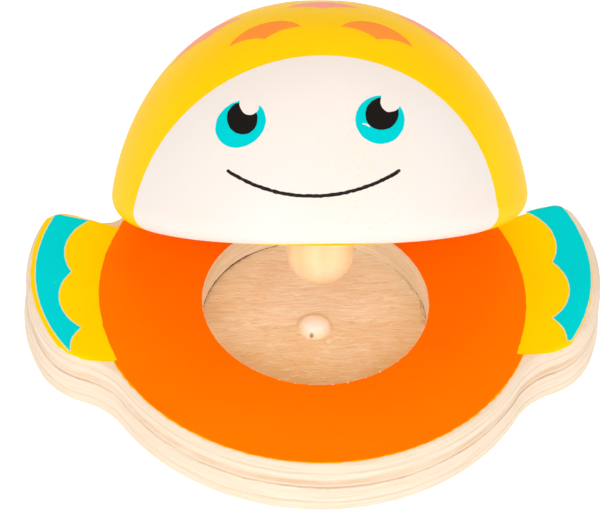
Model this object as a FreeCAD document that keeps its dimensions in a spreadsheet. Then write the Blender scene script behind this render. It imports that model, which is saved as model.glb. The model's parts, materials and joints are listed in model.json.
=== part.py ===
"""Wooden hand castanet: a plywood base with two fins and a round recess, and a turned
half-dome head with a round-ended clapper peg, held open over the base by an elastic cord.

Frame: millimetres, +Z up, origin at the centre of the disc on the underside of the base,
-Y towards the open mouth. The head is drawn in its own turning frame (flat face at z = 0,
turning axis +Z) and then set on the base, leaning back by the opening angle.
"""

import FreeCAD
import Part
import math
import os
import Sketcher

Vector = FreeCAD.Vector

DIMENSIONS = [
    # base boards
    ("disc_radius", 30.2),
    ("board_thickness", 4.4),
    ("edge_round", 0.6),
    ("recess_radius", 15.2),
    # fins: each is a swept outline outside the disc
    ("fin_reach", 38.8),
    ("fin_side_radius", 24.0),
    ("fin_middle", 4.6),
    ("fin_front", 10.5),
    ("fin_heel_radius", 9.5),
    ("fin_tip_radius", 3.2),
    ("fin_rear_slope", 22.0),
    ("fin_rear_height", 4.15),
    ("front_cove_radius", 10.0),
    ("rear_cove_radius", 3.0),
    # strike stud in the recess floor
    ("stud_radius", 2.3),
    ("stud_height", 1.2),
    ("stud_seat_depth", 2.5),
    ("stud_forward", 0.5),
    # turned head
    ("head_radius", 27.95),
    ("head_height", 29.35),
    ("rim_radius", 3.3),
    ("flank_pull", 4.9),
    ("crown_pull", 24.5),
    # hinge line, opening angle and the bevel that the open head stands on
    ("bevel_start", 18.0),
    ("open_angle", 38.3),
    ("hinge_back", 19.0),
    ("hinge_gap", 0.02),
    ("head_side_play", 0.45),
    # clapper peg
    ("peg_radius", 4.5),
    ("peg_reach", 9.0),
    ("peg_seat_depth", 12.0),
    # elastic cord through two holes, knotted in a slot under the base
    ("cord_radius", 0.9),
    ("cord_hole_radius", 1.4),
    ("cord_half_spacing", 5.0),
    ("cord_back", 22.5),
    ("cord_bend_radius", 1.4),
    ("cord_top", 20.0),
    ("slot_half_width", 2.2),
    ("slot_depth", 3.2),
    ("knot_half_length", 2.1),
    ("knot_half_width", 1.75),
    ("knot_half_height", 1.45),
]

# how far a cutting tool runs past the solid that it cuts
OVERRUN = 5.0
# gap between the two ends of the cord, inside its knot
END_GAP = 0.6
# how far the swept cord's volume may differ from its section times its length
SWEEP_ERROR = 0.01
# how far an edge may lie from a plane and still count as lying in it
NEAR = 1e-4

doc = FreeCAD.newDocument("hand_castanet")
sheet = doc.addObject("Spreadsheet::Sheet", "dims")
for row, (alias, number) in enumerate(DIMENSIONS, start=1):
    sheet.set(f"A{row}", alias)
    sheet.set(f"B{row}", str(number))
    sheet.setAlias(f"B{row}", alias)
doc.recompute()


def dim(alias):
    """The value of one driving dimension."""
    return float(sheet.get(alias))


def bearing(start, end):
    """The direction from start to end, in radians."""
    return math.atan2(end.y - start.y, end.x - start.x)


def origin_plane(body, role):
    """One of the body's own origin planes."""
    return next(plane for plane in body.Origin.OriginFeatures if plane.Role == role)


def new_body(label):
    body = doc.addObject("PartDesign::Body", label)
    body.Label = label
    return body


def new_sketch(body, name, role="XY_Plane"):
    sketch = body.newObject("Sketcher::SketchObject", name)
    sketch.AttachmentSupport = [(origin_plane(body, role), "")]
    sketch.MapMode = "FlatFace"
    return sketch


def bound(sketch, expression, *constraint):
    """Add a constraint whose value follows an expression of the sheet."""
    index = sketch.addConstraint(Sketcher.Constraint(*constraint))
    sketch.setExpression(f"Constraints[{index}]", expression)


def tied(sketch, *constraint):
    """Add a constraint that has no value."""
    sketch.addConstraint(Sketcher.Constraint(*constraint))


def arc(centre, radius, start, end):
    """A counter-clockwise arc in a sketch plane."""
    return Part.ArcOfCircle(Part.Circle(centre, Vector(0, 0, 1), radius), start, end)


def circle_in(sketch, radius, x_expression=None, y_expression=None):
    """Add a circle on the sketch's origin, or moved along its axes by two expressions."""
    index = sketch.addGeometry(Part.Circle(Vector(1, 1, 0), Vector(0, 0, 1), dim(radius)), False)
    bound(sketch, f"dims.{radius}", "Radius", index, dim(radius))
    for kind, expression in (("DistanceX", x_expression), ("DistanceY", y_expression)):
        if expression is not None:
            bound(sketch, expression, kind, -1, 1, index, 3, 1.0)
    if x_expression is None and y_expression is None:
        tied(sketch, "Coincident", index, 3, -1, 1)
    elif x_expression is None:
        tied(sketch, "PointOnObject", index, 3, -2)
    elif y_expression is None:
        tied(sketch, "PointOnObject", index, 3, -1)
    return index


def feature(body, kind, name, sketch, **settings):
    """Add a PartDesign feature made from a sketch, with expressions as its settings."""
    made = body.newObject(kind, name)
    made.Profile = sketch
    for key, value in settings.items():
        if isinstance(value, str) and value.startswith("="):
            made.setExpression(key, value[1:])
        else:
            setattr(made, key, value)
    sketch.Visibility = False
    doc.recompute()
    return made


def cut(body, kind, name, sketch, **settings):
    """Add a Pocket or Groove and make sure that it took material away."""
    before = body.Shape.Volume
    made = feature(body, kind, name, sketch, **settings)
    if body.Shape.Volume >= before - NEAR:
        raise RuntimeError(f"{body.Label}: {name} cut nothing")
    return made


def cove_centre(near, near_radius, far, far_radius, radius):
    """Centre of a circle that touches two others from outside, right of the way from near to far."""
    near_arm = near_radius + radius
    far_arm = far_radius + radius
    span = near.distanceToPoint(far)
    along = (near_arm**2 - far_arm**2 + span**2) / (2 * span)
    across = math.sqrt(near_arm**2 - along**2)
    unit = (far - near).normalize()
    return near + unit * along + Vector(unit.y, -unit.x, 0) * across


def half_outline(sketch):
    """Right half of the base outline: disc, front cove, fin heel, side and tip, rear edge and cove."""
    centre = Vector(0, 0, 0)
    disc, side, heel, tip = (
        dim(key) for key in ("disc_radius", "fin_side_radius", "fin_heel_radius", "fin_tip_radius")
    )
    front_cove, rear_cove = dim("front_cove_radius"), dim("rear_cove_radius")
    side_c = Vector(dim("fin_reach") - side, dim("fin_middle"), 0)
    heel_y = heel - dim("fin_front")
    heel_c = Vector(side_c.x + math.sqrt((side - heel) ** 2 - (side_c.y - heel_y) ** 2), heel_y, 0)
    front_c = cove_centre(centre, disc, heel_c, heel, front_cove)
    # the rear edge is a sloping line, fin_rear_height above the disc's centre line at x = 0
    slope = math.radians(dim("fin_rear_slope"))
    along = Vector(math.cos(slope), math.sin(slope), 0)
    up = Vector(-along.y, along.x, 0)
    height = dim("fin_rear_height") * math.cos(slope)
    # tip circle: inside the side arc and below the line
    drop = height - tip - up.dot(side_c)
    tip_c = side_c + up * drop + along * math.sqrt((side - tip) ** 2 - drop**2)
    # rear cove: outside the disc and above the line
    rise = height + rear_cove
    rear_c = up * rise + along * math.sqrt((disc + rear_cove) ** 2 - rise**2)

    quarter = math.pi / 2
    pieces = [
        arc(centre, disc, -quarter, bearing(centre, front_c)),
        arc(front_c, front_cove, bearing(front_c, heel_c), bearing(front_c, centre)),
        arc(heel_c, heel, bearing(front_c, heel_c) - math.pi, bearing(side_c, heel_c)),
        arc(side_c, side, bearing(side_c, heel_c), bearing(side_c, tip_c)),
        arc(tip_c, tip, bearing(side_c, tip_c), slope + quarter),
        Part.LineSegment(rear_c - up * rear_cove, tip_c + up * tip),
        arc(rear_c, rear_cove, bearing(rear_c, centre), slope - quarter),
        arc(centre, disc, bearing(centre, rear_c), quarter),
        Part.LineSegment(Vector(0, disc, 0), Vector(0, -disc, 0)),
    ]
    sketch.addGeometry(pieces, False)
    # the coves and the rear edge run the other way round, so their ends swap
    joins = [
        (0, 2, 1, 2), (1, 1, 2, 1), (2, 2, 3, 1), (3, 2, 4, 1), (4, 2, 5, 2), (5, 1, 6, 2), (6, 1, 7, 1),
    ]
    for first, first_end, second, second_end in joins:
        tied(sketch, "Tangent", first, first_end, second, second_end)
    tied(sketch, "Coincident", 7, 2, 8, 1)
    tied(sketch, "Coincident", 8, 2, 0, 1)
    tied(sketch, "PointOnObject", 8, 1, -2)
    tied(sketch, "PointOnObject", 8, 2, -2)
    tied(sketch, "Coincident", 0, 3, -1, 1)
    tied(sketch, "Coincident", 7, 3, -1, 1)
    radii = {
        0: "disc_radius",
        1: "front_cove_radius",
        2: "fin_heel_radius",
        3: "fin_side_radius",
        4: "fin_tip_radius",
        6: "rear_cove_radius",
        7: "disc_radius",
    }
    for index, alias in radii.items():
        bound(sketch, f"dims.{alias}", "Radius", index, dim(alias))
    bound(sketch, "dims.fin_reach - dims.fin_side_radius", "DistanceX", -1, 1, 3, 3, side_c.x)
    bound(sketch, "dims.fin_middle", "DistanceY", -1, 1, 3, 3, side_c.y)
    bound(sketch, "dims.fin_front - dims.fin_heel_radius", "DistanceY", 2, 3, -1, 1, -heel_y)
    bound(sketch, "dims.fin_rear_slope * 1deg", "Angle", 5, slope)
    bound(sketch, "dims.fin_rear_height * cos(dims.fin_rear_slope * 1deg)", "Distance", -1, 1, 5, height)


def board(label, level, recessed):
    """One plywood board of the base, with its underside at the given level."""
    body = new_body(label)
    outline = new_sketch(body, f"{label}_outline")
    half_outline(outline)
    half = feature(body, "PartDesign::Pad", f"{label}_half", outline, Length="=dims.board_thickness")
    mirrored = body.newObject("PartDesign::Mirrored", f"{label}_mirrored")
    mirrored.Originals = [half]
    mirrored.MirrorPlane = (origin_plane(body, "YZ_Plane"), [""])
    body.Tip = mirrored
    doc.recompute()

    through = {"Type": 1, "Midplane": True}
    if recessed:
        recess = new_sketch(body, f"{label}_recess")
        circle_in(recess, "recess_radius")
        cut(body, "PartDesign::Pocket", f"{label}_recess_cut", recess, **through)
    else:
        seat = new_sketch(body, f"{label}_stud_seat")
        seat.setExpression(
            "AttachmentOffset.Base.z", "dims.board_thickness - dims.stud_seat_depth"
        )
        circle_in(seat, "stud_radius", None, "-dims.stud_forward")
        cut(
            body, "PartDesign::Pocket", f"{label}_stud_seat_cut", seat,
            Length=f"=dims.stud_seat_depth + {OVERRUN}", Reversed=True,
        )
        slot = new_sketch(body, f"{label}_slot")
        reach, width, back = dim("cord_half_spacing"), dim("slot_half_width"), cord_hole_back()
        right = slot.addGeometry(
            arc(Vector(reach, back, 0), width, -math.pi / 2, math.pi / 2), False
        )
        left = slot.addGeometry(
            arc(Vector(-reach, back, 0), width, math.pi / 2, 3 * math.pi / 2), False
        )
        rear = slot.addGeometry(
            Part.LineSegment(Vector(reach, back + width, 0), Vector(-reach, back + width, 0)), False
        )
        front = slot.addGeometry(
            Part.LineSegment(Vector(-reach, back - width, 0), Vector(reach, back - width, 0)), False
        )
        for first, second in ((right, rear), (rear, left), (left, front), (front, right)):
            tied(slot, "Tangent", first, 2, second, 1)
        tied(slot, "Horizontal", rear)
        tied(slot, "Symmetric", right, 3, left, 3, -2)
        bound(slot, "dims.slot_half_width", "Radius", right, width)
        bound(slot, "dims.cord_half_spacing", "DistanceX", -1, 1, right, 3, reach)
        bound(slot, HOLE_BACK, "DistanceY", -1, 1, right, 3, back)
        cut(
            body, "PartDesign::Pocket", f"{label}_slot_cut", slot,
            Length="=dims.slot_depth", Reversed=True,
        )

    holes = new_sketch(body, f"{label}_cord_holes")
    for sign in ("", "-"):
        circle_in(holes, "cord_hole_radius", f"{sign}dims.cord_half_spacing", HOLE_BACK)
    cut(body, "PartDesign::Pocket", f"{label}_cord_hole_cut", holes, **through)

    # the outer edge of the base is rounded at its top and at its underside
    outer_level = dim("board_thickness") if recessed else 0.0
    squared = body.Tip
    outer = [
        f"Edge{number}"
        for number, edge in enumerate(squared.Shape.Edges, start=1)
        if abs(edge.BoundBox.ZMin - outer_level) < NEAR
        and abs(edge.BoundBox.ZMax - outer_level) < NEAR
        and math.hypot(*edge.valueAt(edge.FirstParameter)[:2]) > dim("disc_radius") - NEAR
    ]
    rounding = body.newObject("PartDesign::Fillet", f"{label}_edge_round")
    rounding.Base = (squared, outer)
    rounding.setExpression("Radius", "dims.edge_round")
    doc.recompute()
    body.setExpression("Placement.Base.z", level)
    return body


# the cord's holes in the boards meet its holes in the head on the bevel
HOLE_BACK = "dims.hinge_back + (dims.cord_back - dims.bevel_start) / cos(dims.open_angle * 1deg)"


def cord_hole_back():
    lean = math.radians(dim("open_angle"))
    return dim("hinge_back") + (dim("cord_back") - dim("bevel_start")) / math.cos(lean)


def strike_stud():
    """Short hardwood dowel in the recess floor, with a domed top that the peg lands on."""
    body = new_body("strike_stud")
    sketch = new_sketch(body, "stud_profile", "XZ_Plane")
    radius, height, depth = dim("stud_radius"), dim("stud_height"), dim("stud_seat_depth")
    # the domed top is a spherical cap from the floor to the stud's height
    cap = (radius**2 + height**2) / (2 * height)
    corner = Vector(radius, 0, 0)
    crown = Vector(0, height, 0)
    cap_c = Vector(0, height - cap, 0)
    start = bearing(cap_c, corner)
    sketch.addGeometry(
        [
            Part.LineSegment(Vector(0, -depth, 0), Vector(radius, -depth, 0)),
            Part.LineSegment(Vector(radius, -depth, 0), corner),
            arc(cap_c, cap, start, math.pi / 2),
            Part.LineSegment(crown, Vector(0, -depth, 0)),
        ],
        False,
    )
    for first in range(4):
        tied(sketch, "Coincident", first, 2, (first + 1) % 4, 1)
    tied(sketch, "Horizontal", 0)
    tied(sketch, "Vertical", 1)
    tied(sketch, "PointOnObject", 2, 2, -2)
    tied(sketch, "PointOnObject", 2, 3, -2)
    tied(sketch, "PointOnObject", 0, 1, -2)
    tied(sketch, "PointOnObject", 1, 2, -1)
    bound(sketch, "dims.stud_radius", "DistanceX", -1, 1, 1, 2, radius)
    bound(sketch, "dims.stud_height", "DistanceY", -1, 1, 2, 2, height)
    bound(sketch, "dims.stud_seat_depth", "DistanceY", 0, 1, -1, 1, depth)
    feature(
        body, "PartDesign::Revolution", "stud_turned", sketch,
        ReferenceAxis=(sketch, ["V_Axis"]), Angle=360.0,
    )
    body.setExpression("Placement.Base.y", "-dims.stud_forward")
    body.setExpression("Placement.Base.z", "dims.board_thickness")
    return body


def seat_on_base(body):
    """Set a body that is drawn in the head's turning frame in its place on the base."""
    body.Placement = FreeCAD.Placement(
        Vector(0, 0, 0), FreeCAD.Rotation(Vector(-1, 0, 0), dim("open_angle"))
    )
    body.setExpression("Placement.Rotation.Angle", "dims.open_angle * 1deg")
    body.setExpression("Placement.Base.x", "dims.head_side_play")
    body.setExpression(
        "Placement.Base.y", "dims.hinge_back - dims.bevel_start * cos(dims.open_angle * 1deg)"
    )
    body.setExpression(
        "Placement.Base.z",
        "2 * dims.board_thickness + dims.hinge_gap + dims.bevel_start * sin(dims.open_angle * 1deg)",
    )


def head():
    """Turned half-dome: flat face, rounded rim, straight flanks under a full crown, rear bevel."""
    body = new_body("head")
    profile = new_sketch(body, "head_profile", "XZ_Plane")
    radius, height, rim = dim("head_radius"), dim("head_height"), dim("rim_radius")
    flank_pull, crown_pull = dim("flank_pull"), dim("crown_pull")
    flank = Part.BezierCurve()
    flank.setPoles(
        [
            Vector(radius, rim, 0),
            Vector(radius, flank_pull, 0),
            Vector(crown_pull, height, 0),
            Vector(0, height, 0),
        ]
    )
    profile.addGeometry(
        [
            Part.LineSegment(Vector(0, 0, 0), Vector(radius - rim, 0, 0)),
            arc(Vector(radius - rim, rim, 0), rim, -math.pi / 2, 0),
            flank.toBSpline(),
            Part.LineSegment(Vector(0, height, 0), Vector(0, 0, 0)),
        ],
        False,
    )
    # this shows the curve's poles as circles; 5 and 6 are the two that lie off the curve
    profile.exposeInternalGeometry(2)
    flank_pole, crown_pole = 5, 6
    tied(profile, "Coincident", 0, 1, -1, 1)
    tied(profile, "Tangent", 0, 2, 1, 1)
    tied(profile, "Coincident", 1, 2, 2, 1)
    tied(profile, "Coincident", 2, 2, 3, 1)
    tied(profile, "Coincident", 3, 2, 0, 1)
    tied(profile, "PointOnObject", 3, 1, -2)
    tied(profile, "PointOnObject", 0, 2, -1)
    bound(profile, "dims.rim_radius", "Radius", 1, rim)
    bound(profile, "dims.rim_radius", "DistanceY", -1, 1, 2, 1, rim)
    bound(profile, "dims.head_radius", "DistanceX", -1, 1, 2, 1, radius)
    bound(profile, "dims.head_height", "DistanceY", -1, 1, 3, 1, height)
    bound(profile, "dims.head_radius", "DistanceX", -1, 1, flank_pole, 3, radius)
    bound(profile, "dims.flank_pull", "DistanceY", -1, 1, flank_pole, 3, flank_pull)
    bound(profile, "dims.crown_pull", "DistanceX", -1, 1, crown_pole, 3, crown_pull)
    bound(profile, "dims.head_height", "DistanceY", -1, 1, crown_pole, 3, height)
    feature(
        body, "PartDesign::Revolution", "head_turned", profile,
        ReferenceAxis=(profile, ["V_Axis"]), Angle=360.0,
    )

    # the bevel rises rearwards from the flat face at the opening angle
    bevel = new_sketch(body, "head_bevel", "YZ_Plane")
    start, lean = dim("bevel_start"), math.radians(dim("open_angle"))
    end = radius + OVERRUN
    corners = [
        Vector(start, 0, 0),
        Vector(start, -OVERRUN, 0),
        Vector(end, -OVERRUN, 0),
        Vector(end, (end - start) * math.tan(lean), 0),
    ]
    for first, second in zip(corners, corners[1:] + corners[:1]):
        bevel.addGeometry(Part.LineSegment(first, second), False)
    for first in range(4):
        tied(bevel, "Coincident", first, 2, (first + 1) % 4, 1)
    tied(bevel, "Vertical", 0)
    tied(bevel, "Horizontal", 1)
    tied(bevel, "Vertical", 2)
    tied(bevel, "PointOnObject", 0, 1, -1)
    bound(bevel, "dims.bevel_start", "DistanceX", -1, 1, 0, 1, start)
    bound(bevel, f"dims.head_radius + {OVERRUN}", "DistanceX", -1, 1, 2, 1, end)
    bound(bevel, f"{OVERRUN}", "DistanceY", 0, 2, 0, 1, OVERRUN)
    bound(
        bevel,
        f"(dims.head_radius + {OVERRUN} - dims.bevel_start) * tan(dims.open_angle * 1deg)",
        "DistanceY", -1, 1, 2, 2, (end - start) * math.tan(lean),
    )
    cut(body, "PartDesign::Pocket", "head_bevel_cut", bevel, Type=1, Midplane=True)

    seat = new_sketch(body, "head_peg_seat")
    circle_in(seat, "peg_radius")
    cut(
        body, "PartDesign::Pocket", "head_peg_seat_cut", seat,
        Length="=dims.peg_seat_depth", Reversed=True,
    )
    holes = new_sketch(body, "head_cord_holes")
    for sign in ("", "-"):
        circle_in(holes, "cord_hole_radius", f"{sign}dims.cord_half_spacing", "dims.cord_back")
    cut(body, "PartDesign::Pocket", "head_cord_hole_cut", holes, Type=1, Midplane=True)
    seat_on_base(body)
    return body


def clapper_peg():
    """Round-ended dowel glued in the flat face of the head."""
    body = new_body("clapper_peg")
    sketch = new_sketch(body, "peg_profile", "XZ_Plane")
    radius, reach, depth = dim("peg_radius"), dim("peg_reach"), dim("peg_seat_depth")
    end_c = Vector(0, radius - reach, 0)
    sketch.addGeometry(
        [
            arc(end_c, radius, -math.pi / 2, 0),
            Part.LineSegment(Vector(radius, end_c.y, 0), Vector(radius, depth, 0)),
            Part.LineSegment(Vector(radius, depth, 0), Vector(0, depth, 0)),
            Part.LineSegment(Vector(0, depth, 0), Vector(0, -reach, 0)),
        ],
        False,
    )
    tied(sketch, "Tangent", 0, 2, 1, 1)
    for first in range(1, 4):
        tied(sketch, "Coincident", first, 2, (first + 1) % 4, 1)
    tied(sketch, "Horizontal", 2)
    tied(sketch, "Vertical", 1)
    tied(sketch, "PointOnObject", 2, 2, -2)
    tied(sketch, "PointOnObject", 0, 1, -2)
    tied(sketch, "PointOnObject", 0, 3, -2)
    bound(sketch, "dims.peg_radius", "Radius", 0, radius)
    bound(sketch, "dims.peg_reach", "DistanceY", 0, 1, -1, 1, reach)
    bound(sketch, "dims.peg_seat_depth", "DistanceY", -1, 1, 1, 2, depth)
    feature(
        body, "PartDesign::Revolution", "peg_turned", sketch,
        ReferenceAxis=(sketch, ["V_Axis"]), Angle=360.0,
    )
    seat_on_base(body)
    return body


def rounded_path(points, radius):
    """A wire through the points, with each corner rounded by an arc."""
    edges = []
    start = points[0]
    for before, corner, after in zip(points, points[1:], points[2:]):
        back = (before - corner).normalize()
        ahead = (after - corner).normalize()
        half_angle = back.getAngle(ahead) / 2
        trim = radius / math.tan(half_angle)
        to_middle = (back + ahead).normalize()
        middle = corner + to_middle * (radius / math.sin(half_angle) - radius)
        edges.append(Part.LineSegment(start, corner + back * trim).toShape())
        edges.append(Part.Arc(corner + back * trim, middle, corner + ahead * trim).toShape())
        start = corner + ahead * trim
    edges.append(Part.LineSegment(start, points[-1]).toShape())
    return Part.Wire(edges)


def elastic_cord():
    """The elastic loop: up through the base and the head, across the back, down to its knot."""
    lean = math.radians(dim("open_angle"))
    head_up = Vector(0, math.sin(lean), math.cos(lean))
    radius, spacing, back = dim("cord_radius"), dim("cord_half_spacing"), cord_hole_back()
    # each leg keeps to the middle of its two holes, which the head's side play sets apart
    middle = dim("head_side_play") / 2
    slot_level = dim("slot_depth") / 2
    bevel_level = 2 * dim("board_thickness") + dim("hinge_gap")
    bevel_rise = (dim("cord_back") - dim("bevel_start")) * math.tan(lean)
    knot = Vector(middle, back, slot_level)

    right, left = [], []
    for leg, side in ((right, 1), (left, -1)):
        at_slot = Vector(middle + side * spacing, back, slot_level)
        at_bevel = Vector(at_slot.x, back, bevel_level)
        at_top = at_bevel + head_up * (dim("cord_top") - bevel_rise)
        leg.extend([knot + Vector(side * END_GAP / 2, 0, 0), at_slot, at_bevel, at_top])
    path = rounded_path(right + left[::-1], dim("cord_bend_radius"))
    section = Part.Wire(Part.Circle(path.Vertexes[0].Point, Vector(1, 0, 0), radius).toShape())
    tube = path.makePipeShell([section], True, False)
    expected = math.pi * radius**2 * path.Length
    if abs(tube.Volume / expected - 1) > SWEEP_ERROR:
        raise RuntimeError(f"cord volume {tube.Volume:.1f}, expected {expected:.1f}")
    print(f"elastic cord loop: {path.Length:.1f} mm")

    loop = doc.addObject("Part::Feature", "cord_loop")
    loop.Shape = tube
    tie = doc.addObject("Part::Ellipsoid", "cord_knot")
    # turned a quarter, so that the knot's seam line stays clear of the two legs that enter it
    tie.Placement = FreeCAD.Placement(Vector(0, 0, 0), FreeCAD.Rotation(Vector(0, 0, 1), 90))
    tie.setExpression("Radius1", "dims.knot_half_height")
    tie.setExpression("Radius2", "dims.knot_half_width")
    tie.setExpression("Radius3", "dims.knot_half_length")
    tie.setExpression("Placement.Base.x", "dims.head_side_play / 2")
    tie.setExpression("Placement.Base.y", HOLE_BACK)
    tie.setExpression("Placement.Base.z", "dims.slot_depth / 2")
    cord = doc.addObject("Part::Fuse", "elastic_cord")
    cord.Base = loop
    cord.Tool = tie
    cord.Label = "elastic_cord"
    doc.recompute()
    return cord


sub_parts = [
    board("lower_board", "0", recessed=False),
    board("upper_board", "dims.board_thickness", recessed=True),
    strike_stud(),
    head(),
    clapper_peg(),
    elastic_cord(),
]
doc.recompute()

for item in doc.Objects:
    if "Invalid" in item.State or "Error" in item.State:
        raise RuntimeError(f"{item.Label}: {item.State}")
    if item.isDerivedFrom("Sketcher::SketchObject") and not item.FullyConstrained:
        raise RuntimeError(f"{item.Label} is not fully constrained")

os.makedirs("parts", exist_ok=True)
for part in sub_parts:
    if part.Shape.isNull() or not part.Shape.isValid():
        raise RuntimeError(f"{part.Label}: no valid shape")
    part.Shape.exportStep(f"parts/{part.Label}.step")
    written = Part.Shape()
    written.read(f"parts/{part.Label}.step")
    if not written.isValid():
        raise RuntimeError(f"{part.Label}: its STEP file isn't a valid shape")
    print(f"{part.Label}: {part.Shape.Volume:.1f} mm3")
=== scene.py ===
"""Looks of the wooden hand castanet: plywood base with printed fins, turned dome head with a printed
face, clapper peg, strike stud and elastic. Sizes are in mm and become metres where a mesh is made.
"""

import json
import math

import bmesh
import bpy
from mathutils import Matrix, Vector, kdtree, noise
from mathutils.geometry import delaunay_2d_cdt


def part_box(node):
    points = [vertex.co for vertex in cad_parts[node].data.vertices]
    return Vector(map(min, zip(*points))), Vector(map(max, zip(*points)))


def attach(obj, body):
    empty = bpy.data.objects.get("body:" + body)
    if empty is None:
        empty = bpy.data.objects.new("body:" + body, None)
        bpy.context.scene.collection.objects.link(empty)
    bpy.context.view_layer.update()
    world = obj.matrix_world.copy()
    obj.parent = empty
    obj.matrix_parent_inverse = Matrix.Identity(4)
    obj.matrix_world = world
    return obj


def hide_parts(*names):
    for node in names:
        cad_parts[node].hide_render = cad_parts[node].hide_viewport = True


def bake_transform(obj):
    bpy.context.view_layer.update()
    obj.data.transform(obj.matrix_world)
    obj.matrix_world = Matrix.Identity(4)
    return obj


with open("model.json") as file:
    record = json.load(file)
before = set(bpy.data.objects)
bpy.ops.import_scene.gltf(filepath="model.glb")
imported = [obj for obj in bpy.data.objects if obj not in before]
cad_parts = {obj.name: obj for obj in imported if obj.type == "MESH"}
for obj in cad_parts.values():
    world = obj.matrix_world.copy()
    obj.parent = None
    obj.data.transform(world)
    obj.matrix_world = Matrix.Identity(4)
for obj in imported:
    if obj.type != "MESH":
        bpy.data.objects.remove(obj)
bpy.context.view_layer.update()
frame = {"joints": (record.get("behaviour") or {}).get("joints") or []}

MM = 0.001


def box_mm(node):
    """Lowest and highest corner of a CAD node, in mm."""
    low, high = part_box(node)
    return Vector(low) / MM, Vector(high) / MM


board_low, board_high = box_mm("lower_board")
upper_high = box_mm("upper_board")[1]

# ---- base, as in the CAD ----
DISC_RADIUS = -board_low.y
FIN_REACH = board_high.x
SEAM = board_high.z
TOP = upper_high.z
EDGE_ROUND = 0.6
RECESS_RADIUS = 15.2
FIN_SIDE_RADIUS = 24.0
FIN_MIDDLE = 4.6
FIN_FRONT = 10.5
FIN_HEEL_RADIUS = 9.5
FIN_TIP_RADIUS = 3.2
FIN_REAR_SLOPE = math.radians(22.0)
FIN_REAR_HEIGHT = 4.15
FRONT_COVE_RADIUS = 10.0
REAR_COVE_RADIUS = 3.0
STUD_RADIUS = 2.3
STUD_HEIGHT = 1.2
STUD_SEAT = 2.5
STUD_FORWARD = 0.5
DENT = (-0.5, -2.35, 0.0)
SLOT_HALF_WIDTH = 2.2
SLOT_DEPTH = 3.2
CORD_HOLE_RADIUS = 1.4
CORD_HALF_SPACING = 5.0

# ---- head, in its own turning frame ----
HEAD_RADIUS = 27.95
HEAD_HEIGHT = 29.35
RIM_RADIUS = 3.3
FLANK_PULL = 4.9
CROWN_PULL = 24.5
BEVEL_START = 18.0
OPEN_ANGLE = math.radians(38.3)
HEAD_SIDE_PLAY = 0.45
CORD_BACK = 22.5
PEG_RADIUS = 4.5
PEG_REACH = 9.0
PEG_SEAT = 12.0

hinge = Vector(frame["joints"][0]["pos_m"]) / MM
CORD_Y = hinge.y + (CORD_BACK - BEVEL_START) / math.cos(OPEN_ANGLE)
HEAD_BACK = hinge.y - BEVEL_START * math.cos(OPEN_ANGLE)
HEAD_UP_BY = hinge.z + BEVEL_START * math.sin(OPEN_ANGLE)
HEAD_PLACE = Matrix.Translation(Vector((HEAD_SIDE_PLAY, HEAD_BACK, HEAD_UP_BY)) * MM)
HEAD_PLACE = HEAD_PLACE @ Matrix.Rotation(-OPEN_ANGLE, 4, "X")

# ---- prints ----
FILM = 0.03
SINK = 0.05
PRINT_STEP = 0.45
TURN_FACE = math.radians(-6.3)
TURN_CROWN = math.radians(-2.5)


def noise_at(x, y, z):
    """Smooth noise between about -1 and 1, the same at each run."""
    return noise.noise(Vector((x, y, z)))


# ======================================================================= 2-D outlines


def polar(radius, angle, centre=(0.0, 0.0)):
    return Vector((centre[0] + radius * math.cos(angle), centre[1] + radius * math.sin(angle)))


def arc_points(centre, radius, start, end, step=PRINT_STEP):
    """Points on an arc from one angle to another, ends included."""
    count = max(2, round(abs(end - start) * radius / step))
    return [polar(radius, start + (end - start) * i / count, centre) for i in range(count + 1)]


def arc_through(first, middle, last, step=PRINT_STEP):
    """Points on the circular arc that starts at first, passes through middle and ends at last."""
    a, b, c = Vector(first), Vector(middle), Vector(last)
    turn = 2 * (a.x * (b.y - c.y) + b.x * (c.y - a.y) + c.x * (a.y - b.y))
    x = (a.dot(a) * (b.y - c.y) + b.dot(b) * (c.y - a.y) + c.dot(c) * (a.y - b.y)) / turn
    y = (a.dot(a) * (c.x - b.x) + b.dot(b) * (a.x - c.x) + c.dot(c) * (b.x - a.x)) / turn
    centre = Vector((x, y))
    start = math.atan2(a.y - y, a.x - x)
    sweep = (math.atan2(c.y - y, c.x - x) - start) % (2 * math.pi)
    if turn > 0:
        end = start + sweep
    else:
        end = start - (2 * math.pi - sweep)
    return arc_points(centre, (a - centre).length, start, end, step)


def ellipse(centre, across, along, tilt, count):
    """A closed ellipse, its first half axis turned by tilt."""
    turn = Matrix.Rotation(tilt, 2)
    angles = [2 * math.pi * i / count for i in range(count)]
    return [Vector(centre) + turn @ Vector((across * math.cos(a), along * math.sin(a))) for a in angles]


# two points nearer than this are one
SAME_POINT = 0.02


def joined(*runs):
    """One closed outline from runs of points, without repeating the points that they share."""
    points = []
    for point in (p for run in runs for p in run):
        if not points or (point - points[-1]).length > SAME_POINT:
            points.append(point)
    if (points[0] - points[-1]).length < SAME_POINT:
        points.pop()
    return points


def densified(points, step=PRINT_STEP):
    """The closed outline with its long sides divided."""
    result = []
    for a, b in zip(points, points[1:] + points[:1]):
        parts = max(1, round((b - a).length / step))
        result.extend(a.lerp(b, i / parts) for i in range(parts))
    return result


def moved(points, shift):
    """The closed outline moved outward by shift(point), whichever way round it runs."""
    area = sum(a.x * b.y - b.x * a.y for a, b in zip(points, points[1:] + points[:1]))
    side = 1 if area > 0 else -1
    result = []
    for before, point, after in zip(points[-1:] + points[:-1], points, points[1:] + points[:1]):
        along = (after - before).normalized()
        result.append(point + Vector((along.y, -along.x)) * shift(point) * side)
    return result


def ragged(points, amount, pitch, seed):
    """The outline with the small unevenness of a printed edge."""
    return moved(points, lambda p: noise_at(p.x / pitch, p.y / pitch, seed) * amount)


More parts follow.
